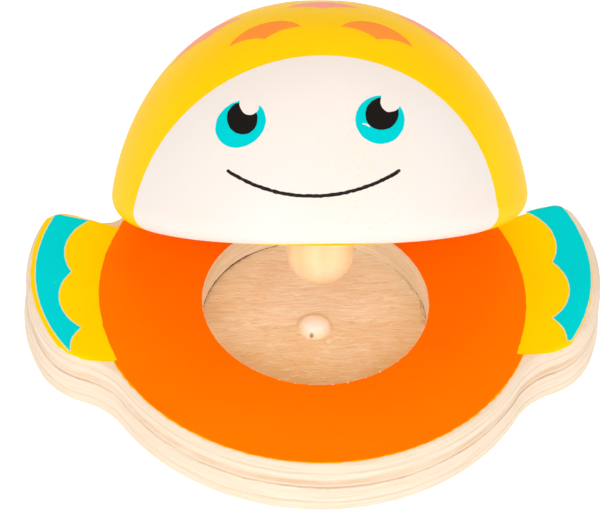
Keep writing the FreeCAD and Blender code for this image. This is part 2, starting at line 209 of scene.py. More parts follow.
def is_inside(point, loops):
    """Whether a point is inside the first outline and outside the others (even-odd rule)."""
    inside = False
    for loop in loops:
        for a, b in zip(loop, loop[1:] + loop[:1]):
            if (a.y > point.y) != (b.y > point.y):
                if point.x < a.x + (point.y - a.y) * (b.x - a.x) / (b.y - a.y):
                    inside = not inside
    return inside


# how clear of the outlines a crease point stays, in mm, and a grid point, in steps
CREASE_CLEAR = 0.12
GRID_CLEAR = 0.6


def filled(loops, step=None, keep=None, creases=()):
    """Triangles that fill outlines with holes, through crease points and a grid of points inside them."""
    points = [p for loop in loops for p in loop]
    edges = []
    start = 0
    for loop in loops:
        count = len(loop)
        edges.extend((start + i, start + (i + 1) % count) for i in range(count))
        start += count
    if step:
        tree = kdtree.KDTree(len(points))
        for index, p in enumerate(points):
            tree.insert((p.x, p.y, 0), index)
        tree.balance()
        xs, ys = [p.x for p in points], [p.y for p in points]
        for p in creases:
            if tree.find((p.x, p.y, 0))[2] > CREASE_CLEAR and is_inside(p, loops):
                points.append(p)
        row_step = step * math.sqrt(3) / 2
        for row in range(1, int((max(ys) - min(ys)) / row_step) + 1):
            for column in range(int((max(xs) - min(xs)) / step) + 1):
                shift = step / 2 if row % 2 else 0.0
                p = Vector((min(xs) + shift + column * step, min(ys) + row * row_step))
                if keep and not keep(p):
                    continue
                if tree.find((p.x, p.y, 0))[2] > step * GRID_CLEAR and is_inside(p, loops):
                    points.append(p)
    spots, _, faces, *_ = delaunay_2d_cdt(points, edges, [], 0, 1e-6)
    kept = []
    for face in faces:
        middle = sum((spots[i] for i in face), Vector((0, 0))) / 3
        if is_inside(middle, loops):
            kept.append(tuple(face))
    return [Vector(p) for p in spots], kept


# ======================================================================= meshes


SHARP = 35.0


def smooth_object(name, vertices, faces, materials, picks=None, place=None, sharp=SHARP):
    """A mesh object from vertices in mm, smooth except at its sharp edges; place puts it in the frame."""
    mesh = bpy.data.meshes.new(name)
    mesh.from_pydata([Vector(v) * MM for v in vertices], [], faces)
    if place:
        mesh.transform(place)
    for material in materials:
        mesh.materials.append(material)
    if picks:
        mesh.polygons.foreach_set("material_index", picks)
    mesh.validate()
    mesh.shade_smooth()
    mesh.set_sharp_from_angle(angle=math.radians(sharp))
    thing = bpy.data.objects.new(name, mesh)
    bpy.context.scene.collection.objects.link(thing)
    return thing


def spot_key(point):
    """The same key for points that are the same apart from rounding."""
    return tuple(round(c, 4) for c in point)


class Shell:
    """Collects rings, strips and filled faces in mm, and joins their shared points."""

    def __init__(self):
        self.vertices = []
        self.faces = []
        self.picks = []
        self.known = {}

    def vertex(self, point):
        key = spot_key(point)
        if key not in self.known:
            self.known[key] = len(self.vertices)
            self.vertices.append(Vector(point))
        return self.known[key]

    def face(self, points, pick=0):
        indices = [self.vertex(p) for p in points]
        unique = [i for n, i in enumerate(indices) if i != indices[n - 1]]
        if len(unique) > 2:
            self.faces.append(unique)
            self.picks.append(pick)

    def strip(self, low, high, pick=0, closed=True):
        """Quads between two rings that have the same number of points."""
        count = len(low)
        for i in range(count if closed else count - 1):
            j = (i + 1) % count
            self.face([low[i], low[j], high[j], high[i]], pick)

    def fill(self, loops, level, pick=0, up=True, step=None, keep=None, relief=None, creases=()):
        """A flat face between outlines; pick is a material's place or a function of a point."""
        spots, triangles = filled(loops, step, keep, creases)
        border = {spot_key(p) for loop in loops for p in loop}
        for triangle in triangles:
            corners = []
            for p in (spots[i] for i in triangle):
                lift = relief(p) if relief and spot_key(p) not in border else 0.0
                corners.append(Vector((p.x, p.y, level + lift)))
            if not up:
                corners.reverse()
            middle = sum((spots[i] for i in triangle), Vector((0, 0))) / 3
            self.face(corners, pick(middle) if callable(pick) else pick)

    def make(self, name, materials, **settings):
        return smooth_object(name, self.vertices, self.faces, materials, self.picks, **settings)


def turned(profile, segments, name, materials, wobble=None, **settings):
    """A solid turned about Z from a profile of (radius, height) points that starts and ends on the axis."""
    shell = Shell()
    rings = []
    for radius, height in profile:
        ring = []
        for i in range(segments):
            point = polar(radius, 2 * math.pi * i / segments).to_3d()
            point.z = height
            ring.append(point + wobble(point) if wobble else point)
        rings.append(ring)
    for low, high in zip(rings, rings[1:]):
        shell.strip(low, high)
    return shell.make(name, materials, **settings)


def cut_with(thing, cutters):
    """Takes the cutters out of a mesh object and deletes them."""
    for cutter in cutters:
        modifier = thing.modifiers.new("cut", "BOOLEAN")
        modifier.object = cutter
        modifier.operation = "DIFFERENCE"
        modifier.solver = "EXACT"
    graph = bpy.context.evaluated_depsgraph_get()
    graph.update()
    result = bpy.data.meshes.new_from_object(thing.evaluated_get(graph))
    thing.modifiers.clear()
    thing.data = result
    for cutter in cutters:
        bpy.data.objects.remove(cutter)
    result.shade_smooth()
    result.set_sharp_from_angle(angle=math.radians(SHARP))


def film(
    name, loops, onto, material, lift, step=0.7, creases=(), ride="base", slot="printed_plywood", place=None
):
    """A closed thin print: outlines filled with triangles and laid onto a surface."""
    spots, triangles = filled(loops, step, creases=creases)
    top = [onto(p, lift) for p in spots]
    bottom = [onto(p, -SINK) for p in spots]
    count = len(spots)
    faces = []
    sides = {}
    for a, b, c in triangles:
        normal = (top[b] - top[a]).cross(top[c] - top[a])
        outward = top[a] - bottom[a]
        if normal.dot(outward) < 0:
            b, c = c, b
        faces.append((a, b, c))
        faces.append((a + count, c + count, b + count))
        for edge in ((a, b), (b, c), (c, a)):
            if edge[::-1] in sides:
                del sides[edge[::-1]]
            else:
                sides[edge] = True
    faces.extend((b, a, a + count, b + count) for a, b in sides)
    thing = smooth_object(name, top + bottom, faces, [material], place=place)
    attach(thing, ride)
    return thing


# ======================================================================= materials


class Look:
    """A node material: a Principled shader and the nodes that feed it."""

    def __init__(self, name, lean=0.0):
        self.lean = lean
        self.material = bpy.data.materials.new(name)
        self.material.use_nodes = True
        self.tree = self.material.node_tree
        self.shader = self.tree.nodes["Principled BSDF"]

    def put(self, node, key, value):
        if isinstance(value, bpy.types.NodeSocket):
            self.tree.links.new(value, node.inputs[key])
        else:
            node.inputs[key].default_value = value

    def add(self, kind, inputs=(), out=0, **settings):
        """One output of a new node with these settings and inputs."""
        node = self.tree.nodes.new(kind)
        for key, value in settings.items():
            setattr(node, key, value)
        for key, value in dict(inputs).items():
            self.put(node, key, value)
        return node.outputs[out]

    def where(self, per_mm=1.0, shift=(0.0, 0.0, 0.0)):
        """Object coordinates in mm, times a frequency for each axis; upright on the head if it leans."""
        spot = self.add("ShaderNodeTexCoord", out="Object")
        if self.lean:
            spot = self.add("ShaderNodeMapping", {"Vector": spot, "Rotation": (self.lean, 0.0, 0.0)})
        each = per_mm if isinstance(per_mm, tuple) else (per_mm,) * 3
        scale = tuple(f / MM for f in each)
        return self.add("ShaderNodeMapping", {"Vector": spot, "Scale": scale, "Location": shift})

    def axis(self, name):
        return self.add("ShaderNodeSeparateXYZ", {"Vector": self.where()}, name)

    def noise(self, spot, detail=4.0, roughness=0.55, distortion=0.0, shift=(0.0, 0.0, 0.0)):
        """Noise at a vector, or with a frequency per mm for each axis."""
        vector = spot if isinstance(spot, bpy.types.NodeSocket) else self.where(spot, shift)
        inputs = {"Vector": vector, "Scale": 1.0, "Detail": detail}
        inputs.update({"Roughness": roughness, "Distortion": distortion})
        return self.add("ShaderNodeTexNoise", inputs)

    def ramp(self, factor, stops):
        node = self.tree.nodes.new("ShaderNodeValToRGB")
        self.put(node, "Fac", factor)
        elements = node.color_ramp.elements
        while len(elements) < len(stops):
            elements.new(1.0)
        for element, (position, colour) in zip(elements, stops):
            element.position = position
            element.color = (*colour, 1.0)
        return node.outputs["Color"]

    def level(self, factor, low, high, start=0.0, end=1.0):
        """A factor remapped between two values."""
        return self.add(
            "ShaderNodeMapRange",
            {"Value": factor, "From Min": low, "From Max": high, "To Min": start, "To Max": end},
        )

    def blend(self, factor, *pair):
        first, second = (c if isinstance(c, bpy.types.NodeSocket) else (*c, 1.0) for c in pair)
        return self.add("ShaderNodeMix", {0: factor, 6: first, 7: second}, 2, data_type="RGBA")

    def tint(self, base, colour, factor, low, high, most=1.0):
        """The base with a colour over it, from none where the factor is low to most where it is high."""
        return self.blend(self.level(factor, low, high, 0.0, most), base, colour)

    def math(self, first, second, operation="ADD"):
        return self.add("ShaderNodeMath", {0: first, 1: second}, operation=operation)

    def finish(self, colour, grain, roughness, relief, bump, gloss=0.5, **constants):
        """Colour, a roughness range that follows a grain, and a bump of (mm, strength) from a relief."""
        self.put(self.shader, "Base Color", colour)
        self.put(self.shader, "Roughness", self.level(grain, 0.3, 0.7, *roughness))
        inputs = {"Height": relief, "Distance": bump[0] * MM, "Strength": bump[1]}
        self.put(self.shader, "Normal", self.add("ShaderNodeBump", inputs))
        for key, value in {"Specular_IOR_Level": gloss, **constants}.items():
            self.put(self.shader, key.replace("_", " "), value)
        return self.material


def rgb(red, green, blue):
    """Linear colour from display values of 0 to 255."""
    values = (c / 255 for c in (red, green, blue))
    return tuple(c / 12.92 if c <= 0.04045 else ((c + 0.055) / 1.055) ** 2.4 for c in values)


def plywood_edge():
    """Sanded plywood: pale wood, a brown ply above the glue line, and faint broken lines between plies."""
    look = Look("plywood_edge")
    bent = look.math(look.axis("Z"), look.level(look.noise(0.05, 3.0), 0.0, 1.0, -0.4, 0.4))
    wavy = look.math(bent, look.level(look.noise(0.35, 3.0, 0.6), 0.0, 1.0, -0.25, 0.25))
    pale, cream, faint = rgb(234, 219, 202), rgb(229, 210, 188), rgb(215, 191, 164)
    line, brown = rgb(190, 154, 121), rgb(213, 182, 150)
    plies = look.ramp(
        look.level(wavy, 0.0, TOP),
        [
            (0.00, cream), (0.16, pale), (0.20, faint), (0.24, pale), (0.40, cream), (0.47, pale),
            (0.505, line), (0.54, cream), (0.58, brown), (0.66, brown), (0.71, cream), (0.79, pale),
            (0.83, faint), (0.87, cream), (1.00, cream),
        ],
    )
    patch = look.noise((0.12, 0.12, 0.4), 4.0, 0.6, shift=(2.0, 5.0, 0.0))
    worn = look.tint(plies, cream, patch, 0.38, 0.62, 0.75)
    streaks = look.noise((0.12, 0.12, 3.2), 6.0, 0.65, 0.5)
    streaked = look.tint(worn, rgb(207, 179, 148), streaks, 0.46, 0.74, 0.55)
    pores = look.noise((1.1, 1.1, 6.0), 3.0, 0.6)
    colour = look.tint(streaked, rgb(196, 160, 122), pores, 0.60, 0.74, 0.3)
    relief = look.math(streaks, look.math(pores, 0.5, "MULTIPLY"))
    return look.finish(colour, streaks, (0.62, 0.8), relief, (0.04, 0.5), 0.2)


def bare_face():
    """Sanded veneer face with grain along X, on the underside and on the hidden faces of the boards."""
    look = Look("bare_veneer")
    rings = look.noise((0.02, 0.45, 0.4), 5.0, 0.6, 0.6)
    fibres = look.noise((0.25, 6.0, 6.0), 5.0, 0.6)
    grain = look.ramp(
        rings, [(0.30, rgb(226, 196, 158)), (0.48, rgb(243, 222, 192)), (0.70, rgb(249, 234, 210))]
    )
    warm = look.tint(grain, rgb(238, 208, 170), look.noise((0.03, 0.06, 0.06), 3.0), 0.4, 0.7, 0.5)
    colour = look.tint(warm, rgb(204, 168, 128), fibres, 0.56, 0.72, 0.4)
    return look.finish(colour, fibres, (0.6, 0.78), fibres, (0.04, 0.6), 0.3)


def recess_veneer():
    """Unsanded veneer in the recess: tan, darker at its front, with wavy fibres along X, a few torn and
    painted brighter as highlights.
    """
    look = Look("recess_veneer")
    sway = look.level(look.noise((0.12, 0.3, 0.3), 2.0), 0.3, 0.7, -0.4, 0.4)
    offset = look.add("ShaderNodeCombineXYZ", {"Y": sway})
    bent = look.add("ShaderNodeVectorMath", {0: look.where(), 1: offset}, operation="ADD")
    long_grain = look.add("ShaderNodeMapping", {"Vector": bent, "Scale": (0.35, 3.6, 1.0)})
    fine_grain = look.add("ShaderNodeMapping", {"Vector": bent, "Scale": (0.5, 2.4, 1.0)})
    fibres = look.noise(long_grain, 7.0, 0.68, 0.35)
    flecks = look.noise(fine_grain, 6.0, 0.75, 0.9)
    warmth = look.noise((0.09, 0.13, 0.1), 2.0, shift=(1.7, 0.4, 0.0))
    wood = look.ramp(
        fibres, [(0.28, rgb(230, 204, 172)), (0.46, rgb(245, 233, 210)), (0.64, rgb(253, 247, 233))]
    )
    forward = look.level(look.axis("Y"), 2.0, -13.0, 0.0, 0.45)
    ochre = look.math(look.level(warmth, 0.45, 0.68, 0.0, 0.5), forward)
    warm = look.blend(ochre, wood, rgb(236, 204, 154))
    # painted highlight: near-white flecks for torn fibres catching the light
    torn = look.tint(warm, rgb(255, 253, 246), flecks, 0.54, 0.66, 0.9)
    colour = look.tint(torn, rgb(208, 170, 126), flecks, 0.44, 0.32, 0.55)
    return look.finish(colour, flecks, (0.7, 0.5), look.math(fibres, flecks), (0.08, 0.8), 0.3)


def seam_glue_and_painted_shade():
    """Dark glue stain and painted shade in the open seam under the wall of the recess: brown wood painted
    dark for the shade that falls there.
    """
    look = Look("seam_glue_and_painted_shade")
    grain = look.noise((1.5, 1.5, 4.0), 3.0)
    # painted shade: the seam's browns are darkened for the shade under the wall, over a glue stain
    colour = look.tint(rgb(150, 98, 62), rgb(196, 142, 98), grain, 0.35, 0.7)
    return look.finish(colour, grain, (0.7, 0.85), grain, (0.05, 0.6))


def recess_wall():
    """The bored wall of the recess: pale cross-cut plies with darker ones between."""
    look = Look("recess_wall")
    streaks = look.noise((0.7, 0.7, 2.2), 6.0, 0.65, 0.4)
    wood = look.ramp(
        look.noise((0.05, 0.05, 1.1), 3.0),
        [(0.35, rgb(240, 220, 190)), (0.5, rgb(248, 232, 208)), (0.65, rgb(252, 240, 222))],
    )
    colour = look.tint(wood, rgb(230, 202, 164), streaks, 0.5, 0.72, 0.5)
    return look.finish(colour, streaks, (0.65, 0.8), streaks, (0.08, 0.7), 0.3)


# how much light the inks and the lacquer mirror; small, so that their colours stay deep
PRINT_GLOSS = 0.008


def printed(name, colour, deep, roughness=0.42, grain=0.35, specks=None):
    """Ink on sanded wood: fine mottle, slight depth changes and the wood's pores in the surface."""
    look = Look(name)
    mottle = look.noise(2.2, 3.0, 0.6)
    ink = look.tint(colour, deep, look.noise((0.05, 0.08, 0.08), 2.0), 0.35, 0.7, 0.5)
    inked = look.tint(ink, deep, mottle, 0.45, 0.8, 0.3)
    if specks:
        dust = look.noise(1.6, 2.0, 0.4, shift=(3.1, 5.7, 1.3))
        inked = look.tint(inked, specks, dust, 0.785, 0.81, 0.8)
    relief = look.math(look.noise((0.5, 5.0, 5.0), 4.0, 0.6), look.math(mottle, 0.4, "MULTIPLY"))
    matt = (roughness - 0.05, roughness + 0.08)
    return look.finish(inked, mottle, matt, relief, (0.02, grain), PRINT_GLOSS)


def lacquer():
    """Yellow satin lacquer on turned wood: faint orange peel and turning rings, a thin clear coat."""
    look = Look("yellow_lacquer", OPEN_ANGLE)
    peel = look.noise(0.7, 3.0, 0.5)
    rings = look.noise((0.03, 0.03, 1.6), 3.0, 0.5)
    colour = look.tint(rgb(255, 203, 0), rgb(254, 195, 0), look.noise(0.06, 2.0), 0.35, 0.7, 0.6)
    fine = look.tint(colour, rgb(250, 188, 0), peel, 0.5, 0.8, 0.25)
    relief = look.math(peel, look.math(rings, 0.6, "MULTIPLY"))
    coat = {"Coat_Weight": 0.16, "Coat_IOR": 1.33, "Coat_Roughness": 0.3}
    return look.finish(fine, peel, (0.34, 0.44), relief, (0.03, 0.35), PRINT_GLOSS, **coat)


def face_white():
    """The printed white of the face, with peach flecks of bare wood beside its middle and at lower left; at
    lower left they are also a painted reflection of the orange print.
    """
    look = Look("face_white", OPEN_ANGLE)
    flecks = look.noise(1.9, 3.0, 0.6)
    white = look.tint(rgb(231, 223, 218), rgb(232, 220, 211), look.noise(0.05, 2.0), 0.35, 0.7)
    across = look.axis("X")
    right_side = look.level(look.math(look.math(across, 4.0, "SUBTRACT"), 0.0, "ABSOLUTE"), 9.0, 2.0)
    # painted reflection: on the left the peach flecks also stand for the orange's warm light on the face
    left_flecks_and_reflection = look.level(across, -14.0, -24.0, 0.0, 0.6)
    spread = look.math(right_side, left_flecks_and_reflection, "MAXIMUM")
    share = look.math(look.level(flecks, 0.56, 0.70), spread, "MULTIPLY")
    colour = look.tint(white, rgb(250, 214, 172), share, 0.0, 1.0, 0.55)
    return look.finish(colour, flecks, (0.42, 0.52), flecks, (0.02, 0.3), 0.1)


def ink_line():
    """Thin dark ink that skips a little over the grain."""
    look = Look("smile_ink")
    skips = look.noise(3.5, 3.0, 0.7)
    colour = look.tint(rgb(28, 23, 22), rgb(120, 100, 92), skips, 0.56, 0.76, 0.5)
    return look.finish(colour, skips, (0.4, 0.6), skips, (0.02, 0.4), 0.1)


def dowel(name, light, warm, lean):
    """Fine pale hardwood dowel, grain along its own axis."""
    look = Look(name, lean)
    fibres = look.noise((3.0, 3.0, 0.15), 5.0, 0.6, 0.2)
    wood = look.tint(light, warm, look.noise((0.35, 0.35, 0.05), 3.0), 0.35, 0.7)
    colour = look.tint(wood, rgb(226, 186, 134), fibres, 0.52, 0.75, 0.3)
    return look.finish(colour, fibres, (0.38, 0.52), fibres, (0.03, 0.4), 0.4)


def stud_wood():
    """Stud: paler towards its top, the colour of the floor at its foot, painted shade in its dent."""
    look = Look("stud_wood")
    fibres = look.noise((3.0, 3.0, 0.6), 4.0, 0.6)
    uneven = look.math(look.axis("Z"), look.level(fibres, 0.3, 0.7, -0.12, 0.12))
    wood = look.ramp(
        look.level(uneven, SEAM, SEAM + STUD_HEIGHT),
        [(0.0, rgb(238, 214, 178)), (0.35, rgb(247, 234, 210)), (0.75, rgb(255, 253, 248))],
    )
    flat = look.where((1.0, 1.0, 0.0))
    away = look.add("ShaderNodeVectorMath", {0: flat, 1: DENT}, "Value", operation="DISTANCE")
    # painted shade: dark brown round the dent, where shade falls in the hollow
    colour = look.tint(wood, rgb(120, 92, 66), away, 0.34, 0.12, 0.8)
    return look.finish(colour, fibres, (0.5, 0.65), fibres, (0.03, 0.4), 0.3)


def braid():
    """Off-white braided elastic: crossed strands with dark gaps between them."""
    look = Look("elastic_braid")
    colour = look.tint(rgb(226, 222, 212), rgb(247, 245, 238), look.noise(4.0, 4.0, 0.6), 0.35, 0.7)
    fuzz = look.noise(14.0, 2.0)
    return look.finish(colour, fuzz, (0.75, 0.9), fuzz, (0.03, 0.6))


EDGE = plywood_edge()
VENEER = bare_face()
RECESS = recess_veneer()
BORE = recess_wall()
GLUE_SHADE_LOOK = seam_glue_and_painted_shade()
ORANGE = printed("orange_print", rgb(255, 119, 0), rgb(254, 110, 0))
HALO = printed("orange_edge", rgb(255, 172, 0), rgb(252, 160, 0))
YELLOW = printed("yellow_print", rgb(255, 205, 0), rgb(253, 196, 0))
TURQUOISE = printed("turquoise_print", rgb(0, 206, 213), rgb(0, 196, 204), specks=rgb(225, 245, 240))
BORDER = printed("pale_underprint", rgb(222, 214, 188), rgb(210, 200, 172))
LACQUER = lacquer()
WHITE = face_white()
IRIS = printed("eye_turquoise", rgb(0, 200, 203), rgb(0, 192, 196), 0.4, 0.2)
BLACK = printed("eye_black", rgb(30, 27, 25), rgb(20, 18, 18), 0.5, 0.3)
INK = ink_line()
SCALE_ORANGE = printed("scale_orange", rgb(255, 150, 60), rgb(254, 140, 48), 0.4, 0.2)
SCALE_PINK = printed("scale_pink", rgb(251, 165, 146), rgb(249, 156, 138), 0.4, 0.2)
PEG_WOOD = dowel("peg_wood", rgb(252, 232, 194), rgb(248, 220, 172), OPEN_ANGLE)
STUD_WOOD = stud_wood()
BRAID = braid()


# ======================================================================= base boards


def fin_circles():
    """Centres of the circles that make the fin outline, and where its straight rear edge lies."""
    side_c = Vector((FIN_REACH - FIN_SIDE_RADIUS, FIN_MIDDLE))
    heel_y = FIN_HEEL_RADIUS - FIN_FRONT
    inner = FIN_SIDE_RADIUS - FIN_HEEL_RADIUS
    heel_c = Vector((side_c.x + math.sqrt(inner**2 - (side_c.y - heel_y) ** 2), heel_y))
    near = DISC_RADIUS + FRONT_COVE_RADIUS
    far = FIN_HEEL_RADIUS + FRONT_COVE_RADIUS
    span = heel_c.length
    along = (near**2 - far**2 + span**2) / (2 * span)
    across = math.sqrt(near**2 - along**2)
    unit = heel_c.normalized()
    cove_c = unit * along + Vector((unit.y, -unit.x)) * across
    line = Vector((math.cos(FIN_REAR_SLOPE), math.sin(FIN_REAR_SLOPE)))
    up = Vector((-line.y, line.x))
    height = FIN_REAR_HEIGHT * math.cos(FIN_REAR_SLOPE)
    drop = height - FIN_TIP_RADIUS - up.dot(side_c)
    tip_c = side_c + up * drop + line * math.sqrt((FIN_SIDE_RADIUS - FIN_TIP_RADIUS) ** 2 - drop**2)
    rise = height + REAR_COVE_RADIUS
    rear_c = up * rise + line * math.sqrt((DISC_RADIUS + REAR_COVE_RADIUS) ** 2 - rise**2)
    return side_c, heel_c, cove_c, tip_c, rear_c, up


SIDE_C, HEEL_C, COVE_C, TIP_C, REAR_C, REAR_UP = fin_circles()


def bearing(start, end):
    return math.atan2(end.y - start.y, end.x - start.x)


def half_outline(inset, step):
    """Right half of the base outline from front to rear, moved inward by inset."""
    centre = Vector((0, 0))
    quarter = math.pi / 2
    front, heel_start = bearing(centre, COVE_C), bearing(COVE_C, HEEL_C) - math.pi
    heel_end, side_end = bearing(SIDE_C, HEEL_C), bearing(SIDE_C, TIP_C)
    rear_start, rear_end = FIN_REAR_SLOPE - quarter, bearing(REAR_C, centre)
    runs = [
        (centre, DISC_RADIUS, -inset, -quarter, front),
        (COVE_C, FRONT_COVE_RADIUS, inset, front + math.pi, heel_start + math.pi),
        (HEEL_C, FIN_HEEL_RADIUS, -inset, heel_start, heel_end),
        (SIDE_C, FIN_SIDE_RADIUS, -inset, heel_end, side_end),
        (TIP_C, FIN_TIP_RADIUS, -inset, side_end, FIN_REAR_SLOPE + quarter),
        (REAR_C, REAR_COVE_RADIUS, inset, rear_start, rear_end % (2 * math.pi) - 2 * math.pi),
        (centre, DISC_RADIUS, -inset, bearing(centre, REAR_C), quarter),
    ]
    points = []
    for arc_centre, radius, change, start, end in runs:
        count = max(3, round(abs(end - start) * radius / step))
        angles = [start + (end - start) * i / count for i in range(count + 1)]
        points += [polar(radius + change, angle, arc_centre) for angle in angles]
    return points


def outline(inset, step=0.35):
    """The whole base outline, counter-clockwise, with the same count of points for any inset."""
    right = half_outline(inset, step)
    left = [Vector((-p.x, p.y)) for p in reversed(right)]
    return right[:-1] + left[:-1]


def ring(radius, count, centre=(0.0, 0.0)):
    return [polar(radius, 2 * math.pi * i / count, centre) for i in range(count)]


def at(points, z):
    return [Vector((p.x, p.y, z)) for p in points]


def rounding(level, into):
    """(inset, height) steps round one edge of the base; into is +1 or -1, the way into the wood."""
    turns = [math.pi / 2 * i / 6 for i in range(7)]
    return [(EDGE_ROUND * (1 - math.sin(a)), level + into * EDGE_ROUND * (1 - math.cos(a))) for a in turns]


# the wall dips a little towards the glue seam, where sanding left a shallow valley and the seam a groove
VALLEY_DEPTH = 0.2
VALLEY_WIDTH = 0.9
VALLEY_LEVEL = SEAM + 0.25
SEAM_GROOVE = 0.05
WALL_STEP = 0.25


def wall_inset(z):
    near = (z - VALLEY_LEVEL) / VALLEY_WIDTH
    return VALLEY_DEPTH * math.exp(-near * near)


SEAM_INSET = wall_inset(SEAM) + SEAM_GROOVE


# waves left by hand sanding: frequency round the wall and up it, seed, height
SANDING_WAVES = [(0.11, 0.35, 0.0, 0.10), (0.35, 2.6, 7.0, 0.035)]


def sanded(points, z, rim):
    """A wall ring with the small unevenness of hand sanding; rim is its share of it."""

    def dip(p):
        waves = (noise_at(p.x * f, p.y * f, z * up + seed) * high for f, up, seed, high in SANDING_WAVES)
        return -rim * sum(waves)

    return at(moved(points, dip), z)


def board_wall(shell, low, high, low_profile, high_profile):
    """The outer wall of one board between its two edge profiles of (inset, height)."""
    first, last = low_profile[-1][1], high_profile[-1][1]
    rows = max(2, round((last - first) / WALL_STEP))
    levels = [first + (last - first) * i / rows for i in range(1, rows)]
    rings = []
    for inset, z in low_profile + [(wall_inset(z), z) for z in levels] + high_profile[::-1]:
        rim = min(1.0, max(0.0, min(z - low, high - z) / EDGE_ROUND - 1))
        rings.append(sanded(outline(inset), z, rim))
    for a, b in zip(rings, rings[1:]):
        shell.strip(a, b)


def slot_loop():
    right, left = Vector((CORD_HALF_SPACING, CORD_Y)), Vector((-CORD_HALF_SPACING, CORD_Y))
    quarter = math.pi / 2
    return joined(
        arc_points(right, SLOT_HALF_WIDTH, -quarter, quarter, 0.3),
        arc_points(left, SLOT_HALF_WIDTH, quarter, 3 * quarter, 0.3),
    )


FLOOR_STEP = 0.42
FLOOR_RELIEF = 0.03
FLOOR_FLAT_RIM = 0.3


def floor_relief(p):
    """Height of the rough veneer in the recess: long fibres along X, none close to the wall."""
    if p.length > RECESS_RADIUS - FLOOR_FLAT_RIM:
        return 0.0
    sway = noise_at(p.x * 0.12, p.y * 0.3, 0.0) * 0.4
    fibres = noise.fractal(Vector((p.x * 0.2, (p.y + sway) * 0.9, 3.0)), 0.8, 2.0, 2)
    return FLOOR_RELIEF * fibres


# the bore's lower edge stands off the floor on its left, and in a short tear on its right
GAP_LEAST = 0.02
GAP_HEIGHT = 1.0
GAP_TAPER = 2.5
GAP_DEPTH = 0.7
GAP_BEARING = math.radians(172)
TEAR_HEIGHT = 0.35
TEAR_BEARING = math.radians(8)
TEAR_SPREAD = math.radians(9)


def bore_gap(angle):
    """Height of the open seam under the wall of the recess, by bearing."""
    near = max(0.0, math.cos(angle - GAP_BEARING)) ** GAP_TAPER
    share = 0.7 + 0.5 * noise_at(math.cos(angle) * 4, math.sin(angle) * 4, 2.0)
    torn = math.exp(-(((angle - TEAR_BEARING) / TEAR_SPREAD) ** 2))
    torn *= max(0.0, 0.5 + noise_at(angle * 25, 0.0, 4.0))
    return GAP_LEAST + GAP_HEIGHT * near * share + TEAR_HEIGHT * torn


# places in a board's list of materials: its plywood, bare veneer, the cut of the recess, the glue stain
# with painted shade
PLY, PLAIN, CUT, GLUE_SHADE = range(4)


def floor_material(p):
    """Recess floor inside the bore, glue stain with painted shade under its wall, bare veneer further out.
    """
    if p.length < RECESS_RADIUS:
        return CUT
    return GLUE_SHADE if p.length < RECESS_RADIUS + GAP_DEPTH else PLAIN


SEAM_STEP = 0.12
HOLE_STEPS = 32
SEAT_STEPS = 48
BORE_STEPS = 240
BORE_ROWS = 14
BORE_RELIEF = 0.035
# the small bevel where the bore meets the top
LIP_HEIGHT = 0.12
LIP_WIDTH = 0.084


def cord_holes():
    return [ring(CORD_HOLE_RADIUS, HOLE_STEPS, (side * CORD_HALF_SPACING, CORD_Y)) for side in (1, -1)]


def seam_edge(side):
    """(inset, height) steps of a board's edge from the glue seam up (side 1) or down (side -1)."""
    z = SEAM + side * SEAM_STEP
    return [(SEAM_INSET, SEAM), (wall_inset(z), z)]


def lower_board():
    """Bottom board: rounded lower edge, slot for the knot, cord holes, seat for the stud."""
    shell = Shell()
    board_wall(shell, 0.0, SEAM, rounding(0.0, 1), seam_edge(-1))
    slot = slot_loop()
    holes = cord_holes()
    seat = ring(STUD_RADIUS, SEAT_STEPS, (0.0, -STUD_FORWARD))
    shell.fill([outline(EDGE_ROUND), slot], 0.0, PLAIN, up=False)
    shell.fill([slot, *holes], SLOT_DEPTH, PLAIN, up=False)
    shell.fill(
        [outline(SEAM_INSET), seat, *holes], SEAM, floor_material, step=FLOOR_STEP, relief=floor_relief,
        creases=ring(RECESS_RADIUS, BORE_STEPS), keep=lambda p: p.length < RECESS_RADIUS + GAP_DEPTH,
    )
    shell.fill([seat], SEAM - STUD_SEAT, PLAIN)
    shell.strip(at(slot, SLOT_DEPTH), at(slot, 0.0), PLAIN)
    shell.strip(at(seat, SEAM), at(seat, SEAM - STUD_SEAT), PLAIN)
    for hole in holes:
        shell.strip(at(hole, SEAM), at(hole, SLOT_DEPTH), PLAIN)
    board = shell.make("board_lower", [EDGE, VENEER, RECESS, GLUE_SHADE_LOOK])
    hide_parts("lower_board")
    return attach(board, "base")


def upper_board():
    """Top board: rounded upper edge and the bored recess."""
    shell = Shell()
    board_wall(shell, SEAM, TOP, seam_edge(1), rounding(TOP, -1))
    holes = cord_holes()
    inner = ring(RECESS_RADIUS, BORE_STEPS)
    outer = ring(RECESS_RADIUS + GAP_DEPTH, BORE_STEPS)
    previous = [Vector((p.x, p.y, SEAM + bore_gap(math.atan2(p.y, p.x)))) for p in inner]
    shell.fill([outline(SEAM_INSET), outer, *holes], SEAM, PLAIN, up=False)
    # the faces in the open seam under the wall get the glue stain with painted shade
    shell.strip(previous, at(outer, SEAM), GLUE_SHADE)
    for row in range(1, BORE_ROWS + 1):
        z = SEAM + (TOP - LIP_HEIGHT - SEAM) * (row / BORE_ROWS)
        current = []
        for p in inner:
            swell = noise.fractal(Vector((p.x * 0.8, p.y * 0.8, z * 1.6)), 0.8, 2.0, 3) * BORE_RELIEF
            current.append((p * (1 + swell / RECESS_RADIUS)).to_3d() + Vector((0, 0, z)))
        shell.strip(current, previous, CUT)
        previous = current
    rim = ring(RECESS_RADIUS + LIP_WIDTH, BORE_STEPS)
    shell.strip(at(rim, TOP), previous, CUT)
    shell.fill([outline(EDGE_ROUND), rim, *holes], TOP, PLY)
    for hole in holes:
        shell.strip(at(hole, TOP), at(hole, SEAM), PLAIN)
    board = shell.make("board_upper", [EDGE, VENEER, BORE, GLUE_SHADE_LOOK])
    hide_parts("upper_board")
    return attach(board, "base")


CHIP_SINK = 0.06


